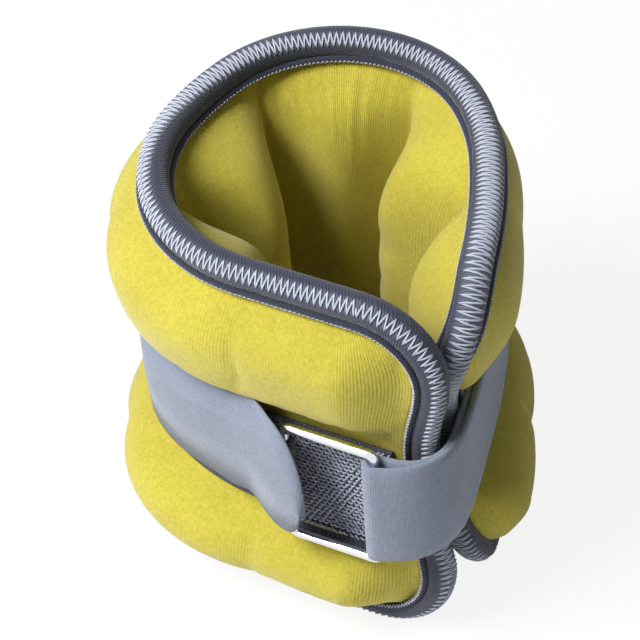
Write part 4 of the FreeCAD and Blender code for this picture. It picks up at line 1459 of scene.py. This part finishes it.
def build_keeper():
    """Webbing folded round the ring's left leg and sewn to the tape."""
    near, far = (RING_SETBACK + past for past in KEEPER_FOOT)
    half = KEEPER_THICKNESS / 2
    lower = [waist.point(place, TAPE_OUT + half) for place in spread(far, near, 2.0)]
    upper = [waist.point(place, TAPE_OUT + half * KEEPER_UPPER) for place in spread(near + 2.0, far, 2.0)]
    base = math.degrees(math.atan2(lower[-1].y - LEFT_LEG.y, lower[-1].x - LEFT_LEG.x)) + KEEPER_LEAVES
    turns = [math.radians(turn) for turn in spread(base, base + KEEPER_WRAP, 15.0)]
    around = [LEFT_LEG + Vector((math.cos(turn), math.sin(turn), 0)) * (LEG_BORE + half) for turn in turns]
    path = lower + around + upper
    rings, across = webbing_rings(path, KEEPER_WIDTH, KEEPER_THICKNESS)
    lengths = lengths_along(path)
    keeper = skin("ring_keeper", rings, lengths, across, lengths)
    dress(keeper, COARSE_LOOP)
    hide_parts("keeper_loop")
    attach(keeper, "half_a")
    return keeper


# ---------------------------------------------------------------- pieces kept from the frame

def paint_inner_pieces():
    """The inner bags, their filling and the hook patch keep their own shapes."""
    materials = {"weight_bag": BAG_CLOTH, "iron_fill": IRON_SAND, "hook_patch": HOOK_CLOTH}
    for name, obj in frame["nodes"].items():
        for start, material in materials.items():
            if name.startswith(start):
                for slot in obj.material_slots:
                    slot.material = material


# ---------------------------------------------------------------- stage, light and camera

STAGE_GLOW = 0.88


def seen_directly(tree):
    """1 for what the camera sees, itself or in gloss, and 0 for light on other things."""
    path = tree.nodes.new("ShaderNodeLightPath")
    return calc(tree, "MAXIMUM", path.outputs["Is Camera Ray"], path.outputs["Is Glossy Ray"])


def stage_material():
    """White that shows as plain white to the camera and in gloss, and still takes a soft shadow."""
    material, tree, shader = new_material("white_floor", Base_Color=(0.95, 0.95, 0.95, 1.0), Roughness=0.9)
    glow = tree.nodes.new("ShaderNodeEmission")
    set_values(glow, Color=(1, 1, 1, 1), Strength=1.0)
    mixer = tree.nodes.new("ShaderNodeMixShader")
    tree.links.new(calc(tree, "MULTIPLY", seen_directly(tree), STAGE_GLOW), mixer.inputs["Fac"])
    tree.links.new(shader.outputs[0], mixer.inputs[1])
    tree.links.new(glow.outputs[0], mixer.inputs[2])
    tree.links.new(mixer.outputs[0], tree.nodes["Material Output"].inputs["Surface"])
    return material


def build_stage():
    """Floor that curves up into a backdrop behind the cuff."""
    reach, rise, bend = 2.5, 3.0, 0.8
    profile = [(-reach * 2, 0.0), (reach - bend, 0.0)]
    for turn in spread(0.0, math.pi / 2, 0.15)[1:]:
        profile.append((reach - bend + bend * math.sin(turn), bend - bend * math.cos(turn)))
    profile.append((reach, rise))
    vertices = [(x, y, z) for y, z in profile for x in (-reach * 2, reach * 2)]
    faces = [(2 * k, 2 * k + 1, 2 * k + 3, 2 * k + 2) for k in range(len(profile) - 1)]
    mesh = bpy.data.meshes.new("floor")
    mesh.from_pydata(vertices, [], faces)
    mesh.materials.append(stage_material())
    for polygon in mesh.polygons:
        polygon.use_smooth = True
    linked("floor", mesh)


AIM = Vector((-0.7, -7.4, 68.4)) * MM
CAMERA_AZIMUTH = 28.9
CAMERA_ELEVATION = 45.0
CAMERA_DISTANCE = 0.818
CAMERA_LENS = 160.0
CAMERA_ROLL = -4.2


def from_angles(azimuth, elevation, distance):
    """Place at a distance from the aim, azimuth 0 being in front."""
    return AIM + Vector((math.sin(azimuth) * math.cos(elevation), -math.cos(azimuth) * math.cos(elevation),
                         math.sin(elevation))) * distance


def aimed(name, data, azimuth, elevation, distance, roll=0.0):
    """Camera or lamp at a place round the aim, turned towards it; angles in degrees."""
    obj = linked(name, data)
    obj.location = from_angles(math.radians(azimuth), math.radians(elevation), distance)
    turn = (AIM - obj.location).to_track_quat("-Z", "Y") @ Quaternion((0, 0, 1), math.radians(roll))
    obj.rotation_euler = turn.to_euler()
    return obj


def build_camera():
    data = bpy.data.cameras.new("camera")
    data.lens = CAMERA_LENS
    data.clip_start = 0.01
    bpy.context.scene.camera = aimed("camera", data, CAMERA_AZIMUTH, CAMERA_ELEVATION, CAMERA_DISTANCE,
                                     CAMERA_ROLL)


def lamp(name, azimuth, elevation, distance, side, power):
    """Square lamp of a side in metres and a power in watts."""
    data = bpy.data.lights.new(name, "AREA")
    data.shape = "SQUARE"
    data.size = side
    data.energy = power
    return aimed(name, data, azimuth, elevation, distance)


SKY_LIGHT = 0.13


def build_light():
    lamp("key_light", -39.0, 54.0, 1.1, 0.46, 17.0)
    lamp("front_fill", -28.0, 26.0, 1.5, 0.8, 2.6)
    world = bpy.context.scene.world or bpy.data.worlds.new("world")
    bpy.context.scene.world = world
    world.use_nodes = True
    tree = world.node_tree
    sky = tree.nodes["Background"]
    set_values(sky, Color=(1, 1, 1, 1))
    strength = calc(tree, "MULTIPLY_ADD", seen_directly(tree), 1 - SKY_LIGHT, SKY_LIGHT)
    tree.links.new(strength, sky.inputs["Strength"])
    bpy.context.scene.view_settings.view_transform = "Standard"


# ---------------------------------------------------------------- the whole cuff

build_camera()
build_light()
build_stage()
build_pad()
build_binding()
build_welt("welt_outside", 1, 0.8)
build_welt("welt_inside", -1, 0.95)
build_overlock()
build_welt_thread("welt_thread_outside", 1, 5.0, 1.35, 0.14)
build_welt_thread("welt_thread_inside", -1, 7.0, 1.45, 0.18)
build_tape()
build_tape_edge()
build_loops()
build_root()
build_strap_run()
build_tab()
build_bridge()
build_ring()
build_keeper()
paint_inner_pieces()
